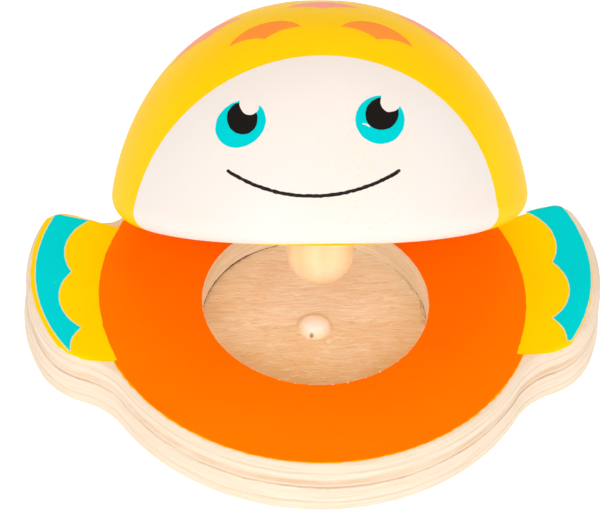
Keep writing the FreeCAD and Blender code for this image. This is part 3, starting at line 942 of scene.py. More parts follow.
def chips(name, places, sizes, level, seed):
    """Small torn bits of wood: flat pointed slivers, each lying at its own place and bearing."""
    shell = Shell()
    for number, (spot, turn) in enumerate(places):
        spread = noise_at(number * 1.7, seed, 0.5)
        length, width, height = (size * (1 + 0.6 * spread) for size in sizes)
        along = polar(1.0, turn).to_3d()
        across = Vector((-along.y, along.x, 0.0))
        up = Vector((0, 0, 1))
        base = Vector((spot.x, spot.y, level))
        top = base + along * length * spread * 0.5 + up * height
        bottom = base - up * CHIP_SINK
        raised = base + along * length + up * height * 0.6
        corners = [base - along * length, base - across * width * 0.8, raised, base + across * width]
        for a, b in zip(corners, corners[1:] + corners[:1]):
            shell.face([a, b, top])
            shell.face([b, a, bottom])
    thing = shell.make(name, [RECESS], sharp=20.0)
    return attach(thing, "base")


# half length, half width and height of the torn bits; how many, and bearings of the first and between them
SPLINTER_SIZE = (0.7, 0.1, 0.18)
SPLINTER_COUNT, SPLINTER_START, SPLINTER_PITCH = 16, -4, 2.6
CRUMB_SIZE = (0.16, 0.09, 0.1)
CRUMB_COUNT, CRUMB_START, CRUMB_PITCH = 9, -112, 9


def splinters():
    """Torn fibres at the foot of the recess wall on its right, and crumbs along its front rim."""
    torn = []
    for number in range(SPLINTER_COUNT):
        uneven = 3 * noise_at(number * 2.3, 0.0, 1.0)
        angle = math.radians(SPLINTER_START + SPLINTER_PITCH * number + uneven)
        radius = RECESS_RADIUS - 0.35 - 0.6 * abs(noise_at(number * 1.3, 3.0, 1.0))
        turn = math.radians(60) * noise_at(number * 3.1, 6.0, 1.0) + math.radians(120)
        torn.append((polar(radius, angle), turn))
    chips("recess_splinters", torn, SPLINTER_SIZE, SEAM, 1.0)
    crumbs = []
    for number in range(CRUMB_COUNT):
        uneven = 6 * noise_at(number * 2.9, 0.0, 5.0)
        angle = math.radians(CRUMB_START + CRUMB_PITCH * number + uneven)
        crumbs.append((polar(RECESS_RADIUS + 0.16, angle), 2.1 * number))
    chips("rim_crumbs", crumbs, CRUMB_SIZE, TOP + 0.05, 2.0)


lower_board()
upper_board()
splinters()


# ======================================================================= prints on the base

flat_edge = outline(0.0, 0.06)
edge_tree = kdtree.KDTree(len(flat_edge))
for number, spot in enumerate(flat_edge):
    edge_tree.insert((spot.x, spot.y, 0), number)
edge_tree.balance()


LEAST_SLOPE = 0.4


def on_base(p, lift):
    """A point of a base print: on the flat top, or over its rounded edge."""
    depth = edge_tree.find((p.x, p.y, 0))[2]
    if depth >= EDGE_ROUND:
        return Vector((p.x, p.y, TOP + lift))
    rise = math.sqrt(EDGE_ROUND**2 - (EDGE_ROUND - depth) ** 2)
    # on the slope the lift is measured square to the wood, up to a limit
    return Vector((p.x, p.y, TOP - EDGE_ROUND + rise + lift / max(rise / EDGE_ROUND, LEAST_SLOPE)))


# the prints lie a little to the left of the boards
PRINT_SHIFT = Vector((-0.3, 0.0))
ORANGE_RADIUS = 29.35
ORANGE_SHIFT = PRINT_SHIFT + Vector((0.12, -0.05))
FIN_RING_RADIUS = 28.83
FIN_RING_CENTRE = Vector((-0.37, 0.6))
FIN_RING_FLARE = 0.5
FIN_RING_TURN = math.radians(14)
YELLOW_INSET = 0.12
YELLOW_REAR_INSET = 0.3
YELLOW_REACH = 37.95
YELLOW_RADIUS = 25.3
YELLOW_SIDEWAYS = 0.25
YELLOW_HEEL_START = math.radians(-103)
YELLOW_TIP_TURN = 0.35
TURQUOISE_REACH = {1: 37.6, -1: 37.45}
TURQUOISE_RADIUS = {1: 25.1, -1: 23.8}
TURQUOISE_MIDDLE = 4.8
TURQUOISE_FRONT = -8.1
TURQUOISE_REAR = 16.6
# its blunt rear corner, and from there the three scallops, each through three points
TURQUOISE_CORNER = [Vector((34.15, 16.95)), Vector((33.5, 17.0))]
TURQUOISE_SCALLOPS = [
    ((29.7, 15.75), (32.95, 11.9), (32.6, 6.35)),
    ((32.6, 6.35), (34.55, 1.7), (31.85, -3.95)),
    ((31.85, -3.95), (33.1, -5.7), (33.55, TURQUOISE_FRONT)),
]
TURQUOISE_TURN = math.radians(0.35)
TURQUOISE_SHIFT = PRINT_SHIFT + Vector((0.25, 0.05))
# lifts over the wood: each of these prints lies over the ones before it, and over the halo at FILM
ORANGE_LIFT = FILM + 0.015
YELLOW_LIFT = FILM + 0.03
BORDER_LIFT = FILM + 0.042
TURQUOISE_LIFT = FILM + 0.06
# how far the orange's halo shows outside it and runs in under it, and how far the orange stays off the bore
HALO_OUT = 0.17
HALO_IN = 0.35
RIM_CLEAR = 0.11
# how far the pale border shows round the turquoise, and how far it runs in under it
BORDER_OUT = 0.13
BORDER_IN = 0.22
# rows of points that let a print follow the rounded edge
EDGE_CREASES = [p for inset in (0.03, 0.12, 0.25, 0.42, 0.6) for p in outline(inset, 0.45)]


def circle_and_rear_line(centre, radius, inset):
    """Where the fin's rear edge, moved inward, crosses a circle."""
    line = Vector((REAR_UP.y, -REAR_UP.x))
    height = FIN_REAR_HEIGHT * math.cos(FIN_REAR_SLOPE) - inset
    start = REAR_UP * height - centre
    along = start.dot(line)
    return centre + start + line * (math.sqrt(along**2 - start.dot(start) + radius**2) - along)


def yellow_fin(side):
    """Outline of the yellow print on one fin: heel, side, tip, rear edge, edge over the orange."""
    centre = Vector((side * FIN_RING_CENTRE.x, FIN_RING_CENTRE.y))
    rear_end = circle_and_rear_line(centre, FIN_RING_RADIUS, YELLOW_REAR_INSET)
    side_end = bearing(SIDE_C, TIP_C)
    middle = Vector((YELLOW_REACH - YELLOW_RADIUS - side * YELLOW_SIDEWAYS, TURQUOISE_MIDDLE))
    heel = arc_points(HEEL_C, FIN_HEEL_RADIUS - YELLOW_INSET, YELLOW_HEEL_START, 0.0)
    heel = [
        p for p in heel
        if (p - centre).length > FIN_RING_RADIUS + FIN_RING_FLARE and (p - middle).length < YELLOW_RADIUS
    ]
    flank = arc_points(middle, YELLOW_RADIUS, bearing(middle, heel[-1]) + 0.01, side_end)
    tip_radius = FIN_TIP_RADIUS - YELLOW_REAR_INSET
    tip = arc_points(TIP_C, tip_radius, side_end + YELLOW_TIP_TURN, FIN_REAR_SLOPE + math.pi / 2)
    back = arc_points(centre, FIN_RING_RADIUS, bearing(centre, rear_end), bearing(centre, heel[0]))
    for i, p in enumerate(back):
        low = max(0.0, -bearing(centre, p) / FIN_RING_TURN - 1)
        back[i] = p + (p - centre).normalized() * FIN_RING_FLARE * low**2
    points = densified(joined(heel, flank, tip, [rear_end], back))
    return [Vector((side * p.x, p.y)) for p in points]


def turquoise_fin(side):
    """Outline of the turquoise print: smooth outer edge, three scallops inside."""
    radius = TURQUOISE_RADIUS[side]
    low, high = (math.asin((y - TURQUOISE_MIDDLE) / radius) for y in (TURQUOISE_FRONT, TURQUOISE_REAR))
    outer = arc_points((TURQUOISE_REACH[side] - radius, TURQUOISE_MIDDLE), radius, low, high)
    scallops = [arc_through(*bends) for bends in TURQUOISE_SCALLOPS]
    points = densified(joined(outer, TURQUOISE_CORNER, *scallops))
    turn = Matrix.Rotation(TURQUOISE_TURN, 2)
    return [turn @ Vector((side * p.x, p.y)) + TURQUOISE_SHIFT for p in points]


def base_prints():
    settings = {"onto": on_base, "creases": EDGE_CREASES}
    reaches = (ORANGE_RADIUS, ORANGE_RADIUS + HALO_OUT, ORANGE_RADIUS - HALO_IN)
    edge, outer, under = (ring(radius, 420, ORANGE_SHIFT) for radius in reaches)
    orange = ragged(edge, 0.12, 1.3, 1.0)
    rim = ragged(ring(RECESS_RADIUS + RIM_CLEAR, 300), 0.08, 0.7, 5.0)
    halo = ragged(outer, 0.16, 0.9, 12.0)
    film("print_orange", [orange, rim], material=ORANGE, lift=ORANGE_LIFT, step=1.2, **settings)
    film("print_orange_halo", [halo, under], material=HALO, lift=FILM, step=1.2, **settings)
    for side, word in ((-1, "left"), (1, "right")):
        yellow = ragged(yellow_fin(side), 0.10, 1.1, 2.0)
        film(f"print_fin_yellow_{word}", [yellow], material=YELLOW, lift=YELLOW_LIFT, **settings)
        teal = turquoise_fin(side)
        outer, inner = (moved(teal, lambda p, by=by: by) for by in (BORDER_OUT, -BORDER_IN))
        # where the outline turns sharply its inward copy crosses itself; those points are left out
        inner = [p for p in inner if min((p - q).length for q in teal) > 0.2]
        pale = [ragged(outer, 0.05, 0.8, 3.0), inner]
        film(f"print_fin_border_{word}", pale, material=BORDER, lift=BORDER_LIFT, **settings)
        inked = ragged(teal, 0.06, 0.8, 4.0)
        film(f"print_fin_turquoise_{word}", [inked], material=TURQUOISE, lift=TURQUOISE_LIFT, **settings)


base_prints()


# ======================================================================= head


def dome_profile(rim_steps=14, flank_steps=72):
    """(radius, height) along the head's outside, from the flat face's edge to the crown."""
    points = []
    for i in range(rim_steps):
        a = math.pi / 2 * i / rim_steps
        points.append((HEAD_RADIUS - RIM_RADIUS + RIM_RADIUS * math.sin(a), RIM_RADIUS * (1 - math.cos(a))))
    poles = [(HEAD_RADIUS, RIM_RADIUS), (HEAD_RADIUS, FLANK_PULL)]
    poles += [(CROWN_PULL, HEAD_HEIGHT), (0.0, HEAD_HEIGHT)]
    for i in range(flank_steps + 1):
        t = i / flank_steps
        weights = ((1 - t) ** 3, 3 * t * (1 - t) ** 2, 3 * t * t * (1 - t), t**3)
        points.append(tuple(sum(w * pole[axis] for w, pole in zip(weights, poles)) for axis in (0, 1)))
    return points


FINE_RIM_STEPS = 60
FINE_PROFILE = dome_profile(FINE_RIM_STEPS, 400)
FINE_LENGTH = [0.0]
for a_spot, b_spot in zip(FINE_PROFILE, FINE_PROFILE[1:]):
    FINE_LENGTH.append(FINE_LENGTH[-1] + math.dist(a_spot, b_spot))


def found(table, value):
    """The step of a growing table in which a value lies, and its share of that step."""
    low, high = 0, len(table) - 1
    while high - low > 1:
        middle = (low + high) // 2
        if table[middle] <= value:
            low = middle
        else:
            high = middle
    return low, (value - table[low]) / max(1e-9, table[high] - table[low])


def along_profile(value, table, start=0):
    """Arc length where a growing table, which begins at a point of the profile, reaches a value."""
    low, share = found(table, value)
    first, last = FINE_LENGTH[start + low : start + low + 2]
    return first + share * (last - first)


def profile_at(length):
    """(radius, height) and outward unit normal at an arc length."""
    low, share = found(FINE_LENGTH, length)
    a, b = Vector(FINE_PROFILE[low]), Vector(FINE_PROFILE[low + 1])
    along = (b - a).normalized()
    return a.lerp(b, share), Vector((along.y, -along.x))


HEIGHTS = [p[1] for p in FINE_PROFILE]
# from here on the flank only draws in, so minus its radius is a growing table too
CROWN_RADII = [-p[0] for p in FINE_PROFILE[FINE_RIM_STEPS:]]
# the face's prints are laid out on the unrolled head: mm round it at this radius, and mm up its profile
UNROLL = 20.0


def on_dome(p, lift):
    """A point of a face print: p is (bearing round the head times UNROLL, length up the profile)."""
    spot, normal = profile_at(p.y)
    spot = spot + normal * lift
    bearing_angle = p.x / UNROLL
    return Vector((spot.x * math.sin(bearing_angle), -spot.x * math.cos(bearing_angle), spot.y))


def on_crown(p, lift):
    """A point of a crown print: p is its place seen from above the crown."""
    radius = min(p.length, HEAD_RADIUS - 0.01)
    length = along_profile(-radius, CROWN_RADII, FINE_RIM_STEPS)
    spot, normal = profile_at(length)
    spot = spot + normal * lift
    unit = p.normalized() if p.length > 1e-6 else Vector((1, 0))
    return Vector((unit.x * spot.x, unit.y * spot.x, spot.y))


def front_view(points):
    """Points of the face seen square from the front, (across, height), moved onto the unrolled chart."""
    result = []
    for p in points:
        length = along_profile(p.y, HEIGHTS)
        radius = profile_at(length)[0].x
        result.append(Vector((math.asin(max(-1.0, min(1.0, p.x / radius))) * UNROLL, length)))
    return result


def outward(thing):
    """Makes a closed mesh's faces look outward."""
    mesh = bmesh.new()
    mesh.from_mesh(thing.data)
    bmesh.ops.recalc_face_normals(mesh, faces=mesh.faces)
    mesh.to_mesh(thing.data)
    mesh.free()
    return thing


# how far the cutters of the head reach past its flat face and its rim
CUT_BELOW = 3.0
WEDGE_BELOW = 2.0
WEDGE_PAST = 5.0
CORD_BORE_REACH = 33.0
PEG_PLAY = 0.12


def rod(radius, reach, segments, name, **settings):
    """A cutter for a round hole in the flat face."""
    profile = [(0.0, -CUT_BELOW), (radius, -CUT_BELOW), (radius, reach), (0.0, reach)]
    return turned(profile, segments, name, [LACQUER], **settings)


def bevel_wedge():
    """A cutter for the flat bevel at the rear of the head."""
    reach = HEAD_RADIUS + WEDGE_PAST
    rise = (reach - BEVEL_START) * math.tan(OPEN_ANGLE)
    low_start = (BEVEL_START - WEDGE_BELOW, -WEDGE_BELOW)
    corners = [(BEVEL_START, 0.0), low_start, (reach, -WEDGE_BELOW), (reach, rise)]
    left, right = ([Vector((x, y, z)) for y, z in corners] for x in (-reach, reach))
    wedge = Shell()
    wedge.strip(left, right)
    wedge.face(left)
    wedge.face(right[::-1])
    return wedge.make("cut_bevel", [LACQUER])


def head():
    """Turned dome with its rear bevel, peg seat and cord holes."""

    def unturned(point):
        # a hair of unevenness left by the lathe and the sanding, none on the flat face
        share = min(1.0, max(0.0, point.z / 4))
        swell = noise.noise(point * 0.06) * 0.10 + noise.noise(point * 0.2) * 0.03
        return point.normalized() * swell * share * 0.3

    flat = [((HEAD_RADIUS - RIM_RADIUS) * i / 8, 0.0) for i in range(8)]
    profile = flat + dome_profile()[:-1] + [(0.0, HEAD_HEIGHT)]
    dome = turned(profile, 256, "head_dome", [LACQUER], unturned)
    cutters = [bevel_wedge(), rod(PEG_RADIUS + PEG_PLAY, PEG_SEAT, 64, "cut_peg")]
    for side in (1, -1):
        place = Matrix.Translation(Vector((side * CORD_HALF_SPACING, CORD_BACK, 0.0)) * MM)
        cutters.append(rod(CORD_HOLE_RADIUS, CORD_BORE_REACH, 40, "cut_bore", place=place))
    cut_with(outward(dome), [outward(cutter) for cutter in cutters])
    dome.data.transform(HEAD_PLACE)
    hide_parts("head")
    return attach(dome, "head")


FACE_RADIUS = 24.4
FACE_LEAN = 0.042
FACE_PLACE = HEAD_PLACE @ Matrix.Rotation(TURN_FACE, 4, "Z")
CROWN_PLACE = HEAD_PLACE @ Matrix.Rotation(TURN_CROWN, 4, "Z")


# the arch of the white, seen from the front: how far round it goes, and its swell on the left
FACE_ARCH = math.radians(81)
FACE_SWELL = 0.4
# its lower corners and lower edge on the unrolled head: bearings, length up the profile, rise in the middle
FACE_CORNER = Vector((1.05 * UNROLL, 1.0))
FACE_CORNER_BULGE = Vector((0.45, 0.0))
FACE_FOOT = 0.93 * UNROLL
FACE_FOOT_LENGTH = 1.6
FACE_FOOT_DROP = 1.7
# where the white ends a little short of the rim
BARE_RIM_HEIGHT = 0.4
BARE_RIM_SIDE = 2.7
BARE_RIM_HALF = 5.0


def face_outline():
    """The white of the face: round seen from the front, square-cornered where it wraps under the rim."""
    top = []
    steps = 120
    for i in range(steps + 1):
        a = -FACE_ARCH + 2 * FACE_ARCH * i / steps
        height = FACE_RADIUS * math.cos(a)
        swell = FACE_SWELL * (1 - height / FACE_RADIUS) ** 2 if a < 0 else 0.0
        top.append(Vector((FACE_RADIUS * math.sin(a) + FACE_LEAN * height - swell, height)))
    arch = front_view(top)
    corners = []
    for end, side in ((arch[-1], 1), (arch[0], -1)):
        foot = Vector((side * FACE_CORNER.x, FACE_CORNER.y))
        bulge = FACE_CORNER_BULGE * side
        corners.append([end.lerp(foot, t) + bulge * math.sin(math.pi * t) for t in (0.25, 0.5, 0.75)])
    under = []
    for i in range(-40, 41):
        across = -FACE_FOOT * i / 40
        bare = BARE_RIM_HEIGHT * math.exp(-(((across - BARE_RIM_SIDE) / BARE_RIM_HALF) ** 2))
        under.append(Vector((across, FACE_FOOT_LENGTH - FACE_FOOT_DROP * (i / 40) ** 2 + bare)))
    return joined(arch, corners[0], under, corners[1][::-1])


CAP_STEP = 0.08


def stroke(points, half_width):
    """A closed outline round a line of points, with round ends."""
    left, right = [], []
    for before, p, after in zip(points[:1] + points[:-1], points, points[1:] + points[-1:]):
        along = (after - before).normalized()
        across = Vector((-along.y, along.x)) * half_width
        left.append(p + across)
        right.append(p - across)
    caps = []
    for inner, end in ((points[1], points[0]), (points[-2], points[-1])):
        turn = bearing(inner, end)
        caps.append(arc_points(end, half_width, turn - math.pi / 2, turn + math.pi / 2, CAP_STEP)[1:-1])
    return joined(left[::-1], caps[0], right, caps[1])


# for each eye the iris, the pupil and the glint: centre, half width, half height, tilt in degrees
EYES = {
    "left": [
        ((-9.62, 15.9), 3.6, 2.74, 29), ((-9.4, 16.6), 2.08, 1.96, 0), ((-8.45, 18.45), 1.35, 1.35, 0),
    ],
    "right": [
        ((8.96, 16.45), 3.29, 2.9, -24), ((9.2, 17.2), 2.2, 1.98, -15), ((10.35, 18.75), 1.4, 1.4, 0),
    ],
}
# for each of those the points round it, the pitch and seed of its uneven edge, its material and its lift
EYE_LAYERS = [
    ("iris", 90, 0.8, 7.0, IRIS, 0.015),
    ("pupil", 70, 0.6, 8.0, BLACK, 0.03),
    ("glint", 48, 0.6, 9.0, WHITE, 0.045),
]
SCRATCH = [Vector(p) for p in ((6.75, 16.1), (7.15, 16.0), (7.55, 15.75))]
SCRATCH_HALF_WIDTH = 0.09
SMILE = ((-11.2, 9.9), (0.1, 7.05), (11.5, 9.9))
SMILE_HALF_WIDTH = 0.23


def face_prints():
    settings = {"onto": on_dome, "ride": "head", "slot": "lacquered_wood", "place": FACE_PLACE}
    white = ragged(densified(face_outline()), 0.04, 1.2, 6.0)
    film("print_face", [white], material=WHITE, lift=FILM, step=0.5, **settings)
    settings["step"] = 0.6
    for word, shapes in EYES.items():
        for shape, (part, count, pitch, seed, material, lift) in zip(shapes, EYE_LAYERS):
            centre, wide, tall, tilt = shape
            edge = ragged(ellipse(centre, wide, tall, math.radians(tilt), count), 0.05, pitch, seed)
            name = f"print_{part}_{word}"
            film(name, [front_view(edge)], material=material, lift=FILM + lift, **settings)
    scratch = front_view(stroke(SCRATCH, SCRATCH_HALF_WIDTH))
    film("print_iris_scratch", [scratch], material=WHITE, lift=FILM + 0.045, **settings)
    smile = front_view(ragged(stroke(arc_through(*SMILE, 0.25), SMILE_HALF_WIDTH), 0.10, 0.5, 10.0))
    film("print_smile", [smile], material=INK, lift=FILM + 0.02, **settings)


SCALE_HALF = 4.85
SCALE_REAR = 2.7
SCALE_CUSP = 1.55
# how far out and forward the front arcs bend, as shares of the half width and the cusp
SCALE_BEND = (0.42, 0.28)


def scale_mark(across, forward, tilt):
    """One fish-scale mark seen from above the crown: a round rear edge and two front arcs with a cusp."""
    left, right, tip = (-SCALE_HALF, 0.0), (SCALE_HALF, 0.0), (0.0, -SCALE_CUSP)
    hollow = (SCALE_HALF * SCALE_BEND[0], -SCALE_CUSP * SCALE_BEND[1])
    bends = ((right, (0.0, SCALE_REAR), left), (left, (-hollow[0], hollow[1]), tip), (tip, hollow, right))
    turn = Matrix.Rotation(tilt, 2)
    return [turn @ p + Vector((across, forward)) for p in joined(*(arc_through(*b, 0.3) for b in bends))]


# rows of marks from the front to the rear, each mark as (across, along, tilt), seen from above
SCALE_ROWS = [
    ("front", SCALE_ORANGE, ((-7.45, -10.05, math.radians(-3.0)), (7.5, -10.35, 0.0))),
    ("second", SCALE_PINK, ((-15.0, -1.5, 0.0), (0.5, -2.65, 0.0), (15.0, -1.2, 0.0))),
    ("third", SCALE_ORANGE, ((-7.5, 4.6, 0.0), (7.5, 4.6, 0.0))),
    ("rear", SCALE_PINK, ((-15.0, 12.0, 0.0), (0.0, 12.0, 0.0), (15.0, 12.0, 0.0))),
]


def crown_prints():
    settings = {"ride": "head", "slot": "lacquered_wood", "place": CROWN_PLACE, "step": 0.6}
    for word, material, places in SCALE_ROWS:
        for number, place in enumerate(places, start=1):
            mark = ragged(scale_mark(*place), 0.05, 0.9, 11.0)
            film(f"print_scale_{word}_{number}", [mark], on_crown, material, FILM, **settings)


head()
face_prints()
crown_prints()


# ======================================================================= peg and stud


def peg():
    """Clapper: round-ended dowel."""
    end = PEG_REACH - PEG_RADIUS
    turns = [math.pi / 2 * i / 24 for i in range(1, 25)]
    profile = [(0.0, -PEG_REACH)]
    profile += [(PEG_RADIUS * math.sin(a), -end - PEG_RADIUS * math.cos(a)) for a in turns]
    profile += [(PEG_RADIUS, -end + (end + PEG_SEAT) * i / 8) for i in range(1, 9)]
    profile.append((0.0, PEG_SEAT))

    def uneven(point):
        return Vector((point.x, point.y, 0.0)).normalized() * noise.noise(point * 0.3) * 0.03

    thing = turned(profile, 96, "peg_clapper", [PEG_WOOD], uneven)
    outward(thing).data.transform(HEAD_PLACE)
    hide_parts("clapper_peg")
    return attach(thing, "head")


STUD_PLAY = 0.05
STUD_FILLET = 0.08
# the power of the curve over its top; above 2 it is flatter in the middle than a ball
STUD_DOME = 2.6
DENT_DEPTH = 0.4
DENT_RADIUS = 0.3


def stud():
    """Strike stud: domed dowel end with a small dent on its front, and a glue fillet at its foot."""
    seat = STUD_RADIUS - STUD_PLAY
    foot = STUD_RADIUS + STUD_FILLET
    profile = [(0.0, -STUD_SEAT), (seat, -STUD_SEAT), (seat, -STUD_PLAY), (foot, 0.0)]
    steps = 16
    for i in range(1, steps + 1):
        share = 1 - i / steps
        profile.append((foot * share, STUD_HEIGHT * (1 - share**STUD_DOME)))

    def dent(point):
        if point.z <= 0.0:
            return Vector((0, 0, 0))
        away = math.hypot(point.x - DENT[0], point.y - STUD_FORWARD - DENT[1])
        hollow = DENT_DEPTH * math.exp(-((away / DENT_RADIUS) ** 2))
        bump = noise.noise(point * 1.1) * 0.05 * min(1.0, point.z / 0.4)
        return Vector((0, 0, bump - hollow))

    thing = turned(profile, 72, "stud_strike", [STUD_WOOD], dent)
    outward(thing).data.transform(Matrix.Translation(Vector((0.0, -STUD_FORWARD, SEAM)) * MM))
    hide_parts("strike_stud")
    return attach(thing, "base")


peg()
stud()


# ======================================================================= elastic

CORD_RADIUS = 0.9
HEAD_UP = Vector((0.0, math.sin(OPEN_ANGLE), math.cos(OPEN_ANGLE)))
CORD_MIDDLE = HEAD_SIDE_PLAY / 2
KNOT_LEVEL = SLOT_DEPTH / 2
# how far up in the head the elastic crosses from one bore to the other
BAR = 16.45


def cord_route():
    """The elastic's route in mm, from one side of its knot up through base and head and back."""
    half = [Vector((across, CORD_Y, KNOT_LEVEL)) for across in (0.8, 3.6, CORD_HALF_SPACING)]
    half += [Vector((CORD_HALF_SPACING, CORD_Y, z)) for z in (3.2, 5.2, 7.6)]
    at_bevel = Vector((CORD_HALF_SPACING, CORD_Y, hinge.z))
    half += [at_bevel + HEAD_UP * along for along in (0.0, 2.0, 6.0, 10.0, 14.6, BAR)]
    half.append(half[-1] - Vector((1.9, 0, 0)))
    right = [p + Vector((CORD_MIDDLE, 0, 0)) for p in half]
    left = [Vector((CORD_MIDDLE - p.x, p.y, p.z)) for p in half]
    return right + left[::-1]


def smooth_line(points, name):
    """Points read from a NURBS spline through a route."""
    curve = bpy.data.curves.new(name, "CURVE")
    curve.dimensions = "3D"
    curve.resolution_u = 12
    spline = curve.splines.new("NURBS")
    spline.points.add(len(points) - 1)
    for target, p in zip(spline.points, points):
        target.co = (*(p * MM), 1.0)
    spline.order_u = 3
    spline.use_endpoint_u = True
    thing = bpy.data.objects.new(name, curve)
    bpy.context.scene.collection.objects.link(thing)
    graph = bpy.context.evaluated_depsgraph_get()
    graph.update()
    line = bpy.data.meshes.new_from_object(thing.evaluated_get(graph))
    result = [v.co / MM for v in line.vertices]
    bpy.data.objects.remove(thing)
    bpy.data.meshes.remove(line)
    return result


def even(points, step):
    """The line with points at an even distance."""
    result = [points[0].copy()]
    left = step
    for a, b in zip(points, points[1:]):
        length = (b - a).length
        travelled = 0.0
        while length - travelled >= left:
            travelled += left
            result.append(a.lerp(b, travelled / length))
            left = step
        left -= length - travelled
    return result


STRANDS = 8
BRAID_PITCH = 3.2
BRAID_STEP = 0.14
BRAID_SIDES = 40
# the braid's surface, as a share of its radius
BRAID_MIDDLE = 0.95
BRAID_SWELL = 0.07
KNOT_STRAND = 0.62
KNOT_STEPS = 160
# each of the knot's tails, for its right side: across, back and up from the knot's middle
TAIL = [(0.5, -0.3, 0.0), (1.6, -0.9, -0.45), (2.9, -1.05, -0.75), (3.9, -0.9, -0.7)]


def braided_tube(path, radius, name):
    """A round braid along a path: strands that cross left and right raise the surface in turn."""
    vertices, faces = [], []
    side = Vector((0, 1, 0))
    travelled = 0.0
    for i, p in enumerate(path):
        ahead = path[min(i + 1, len(path) - 1)] - path[max(i - 1, 0)]
        ahead.normalize()
        side = (side - ahead * side.dot(ahead)).normalized()
        other = ahead.cross(side)
        if i:
            travelled += (p - path[i - 1]).length
        turn = 2 * math.pi * travelled / BRAID_PITCH
        for j in range(BRAID_SIDES):
            a = 2 * math.pi * j / BRAID_SIDES
            over = math.cos(STRANDS / 2 * a + turn) * math.cos(STRANDS / 2 * a - turn)
            swell = radius * (BRAID_MIDDLE + BRAID_SWELL * over)
            vertices.append(p + side * math.cos(a) * swell + other * math.sin(a) * swell)
    last = (len(path) - 1) * BRAID_SIDES
    for start in range(0, last, BRAID_SIDES):
        for j in range(BRAID_SIDES):
            here, there = start + j, start + (j + 1) % BRAID_SIDES
            faces.append((here, there, there + BRAID_SIDES, here + BRAID_SIDES))
    faces.append(tuple(range(BRAID_SIDES))[::-1])
    faces.append(tuple(range(last, last + BRAID_SIDES)))
    return smooth_object(name, vertices, faces, [BRAID], sharp=50.0)


def elastic():
    """The elastic loop, its knot in the slot under the base and the knot's two short tails."""
    loop = braided_tube(even(smooth_line(cord_route(), "route"), BRAID_STEP), CORD_RADIUS, "elastic_loop")
    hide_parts("elastic_cord")
    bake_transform(loop)
    middle = Vector((CORD_MIDDLE, CORD_Y, KNOT_LEVEL))
    knot_path = []
    for a in (2 * math.pi * i / KNOT_STEPS for i in range(KNOT_STEPS)):
        across = 0.62 * (math.sin(a) + 1.2 * math.sin(2 * a))
        back = 0.42 * (math.cos(a) - 1.6 * math.cos(2 * a))
        knot_path.append(middle + Vector((across, back, -0.1 - 0.5 * math.sin(3 * a))))
    knot = braided_tube(knot_path + knot_path[:1], KNOT_STRAND, "elastic_knot")
    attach(knot, "base")
    for word, side in (("left", -1), ("right", 1)):
        tail = [middle + Vector((side * across, side * back, up)) for across, back, up in TAIL]
        end = braided_tube(even(smooth_line(tail, "tail"), BRAID_STEP), KNOT_STRAND, f"elastic_tail_{word}")
        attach(end, "base")


elastic()


# ======================================================================= stage, lights, camera


FLOOR_HALF = 1500.0
FLOOR_GLOW = 0.28
SKY_STRENGTH = 0.6


def stage():
    """A plain pale floor and soft white studio light from all round."""
    look = Look("floor_pale")
    colour = look.tint(rgb(250, 250, 250), rgb(253, 253, 253), look.noise(0.004, 2.0), 0.3, 0.7)
    floor_settings = {
        "Base Color": colour, "Roughness": 0.9, "Specular IOR Level": 0.1,
        "Emission Color": (1.0, 1.0, 1.0, 1.0), "Emission Strength": FLOOR_GLOW,
    }
    for key, value in floor_settings.items():
        look.put(look.shader, key, value)
    square = ((-1, -1), (1, -1), (1, 1), (-1, 1))
    corners = [Vector((x * FLOOR_HALF, y * FLOOR_HALF, -0.02)) for x, y in square]
    floor = smooth_object("floor", corners, [(0, 1, 2, 3)], [look.material])

    world = bpy.data.worlds.new("studio")
    world.use_nodes = True
    sky = world.node_tree.nodes["Background"]
    sky.inputs["Color"].default_value = (1.0, 0.99, 0.98, 1.0)
    sky.inputs["Strength"].default_value = SKY_STRENGTH
    bpy.context.scene.world = world


LAMP_COLOUR = (1.0, 0.985, 0.965)


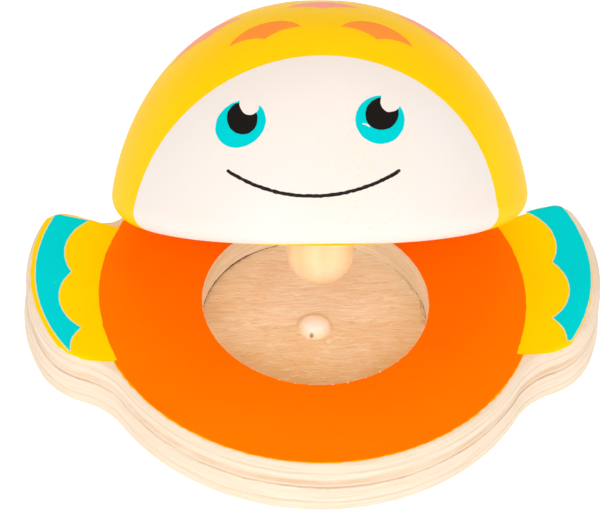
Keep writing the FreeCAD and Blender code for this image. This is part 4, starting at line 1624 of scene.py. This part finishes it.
def softbox(name, place, aim, size, power):
    light = bpy.data.lights.new(name, "AREA")
    light.shape = "RECTANGLE"
    light.size, light.size_y = size
    light.energy = power
    light.color = LAMP_COLOUR
    lamp = bpy.data.objects.new(name, light)
    lamp.location = place
    lamp.rotation_euler = (Vector(aim) - Vector(place)).to_track_quat("-Z", "Y").to_euler()
    bpy.context.scene.collection.objects.link(lamp)


VIEW_AZIMUTH = math.radians(-5.59)
VIEW_ELEVATION = math.radians(46.7)
VIEW_ROLL = math.radians(3.18)
VIEW_DISTANCE = 2500.0
# width of the view at the object, and how far its middle lies from the middle of the base's top
VIEW_WIDTH = 80.86
AIM_RIGHT = -2.09
AIM_UP = 5.44
SENSOR = 36.0


def camera():
    """A long lens, high in front of the mouth, turned a little to the left of the object."""
    back = polar(math.cos(VIEW_ELEVATION), VIEW_AZIMUTH - math.pi / 2).to_3d()
    back.z = math.sin(VIEW_ELEVATION)
    level = (-back).cross(Vector((0, 0, 1))).normalized()
    upright = level.cross(-back)
    right = level * math.cos(VIEW_ROLL) + upright * math.sin(VIEW_ROLL)
    up = upright * math.cos(VIEW_ROLL) - level * math.sin(VIEW_ROLL)
    aim = Vector((0, 0, TOP)) + right * AIM_RIGHT + up * AIM_UP
    lens = bpy.data.cameras.new("view")
    lens.sensor_width = SENSOR
    lens.lens = SENSOR * VIEW_DISTANCE / VIEW_WIDTH
    lens.clip_start = 0.1
    lens.clip_end = 10.0
    eye = bpy.data.objects.new("view", lens)
    turn = Matrix((right, up, back)).transposed().to_4x4()
    eye.matrix_world = Matrix.Translation((aim + back * VIEW_DISTANCE) * MM) @ turn
    bpy.context.scene.collection.objects.link(eye)
    bpy.context.scene.camera = eye


stage()
# place and aim in metres, size in metres, power in watts
for lamp in (
    ("key_left", (-0.52, -0.52, 0.48), (0, 0, 0.02), (0.6, 0.5), 1.85),
    ("key_right", (0.52, -0.52, 0.48), (0, 0, 0.02), (0.6, 0.5), 1.48),
    ("top", (0.0, 0.1, 0.85), (0, 0, 0.02), (0.6, 0.5), 1.9),
    ("front", (0.0, -0.78, 0.44), (0, 0, 0.01), (0.8, 0.3), 1.6),
):
    softbox(*lamp)
camera()
bpy.context.scene.view_settings.view_transform = "Standard"
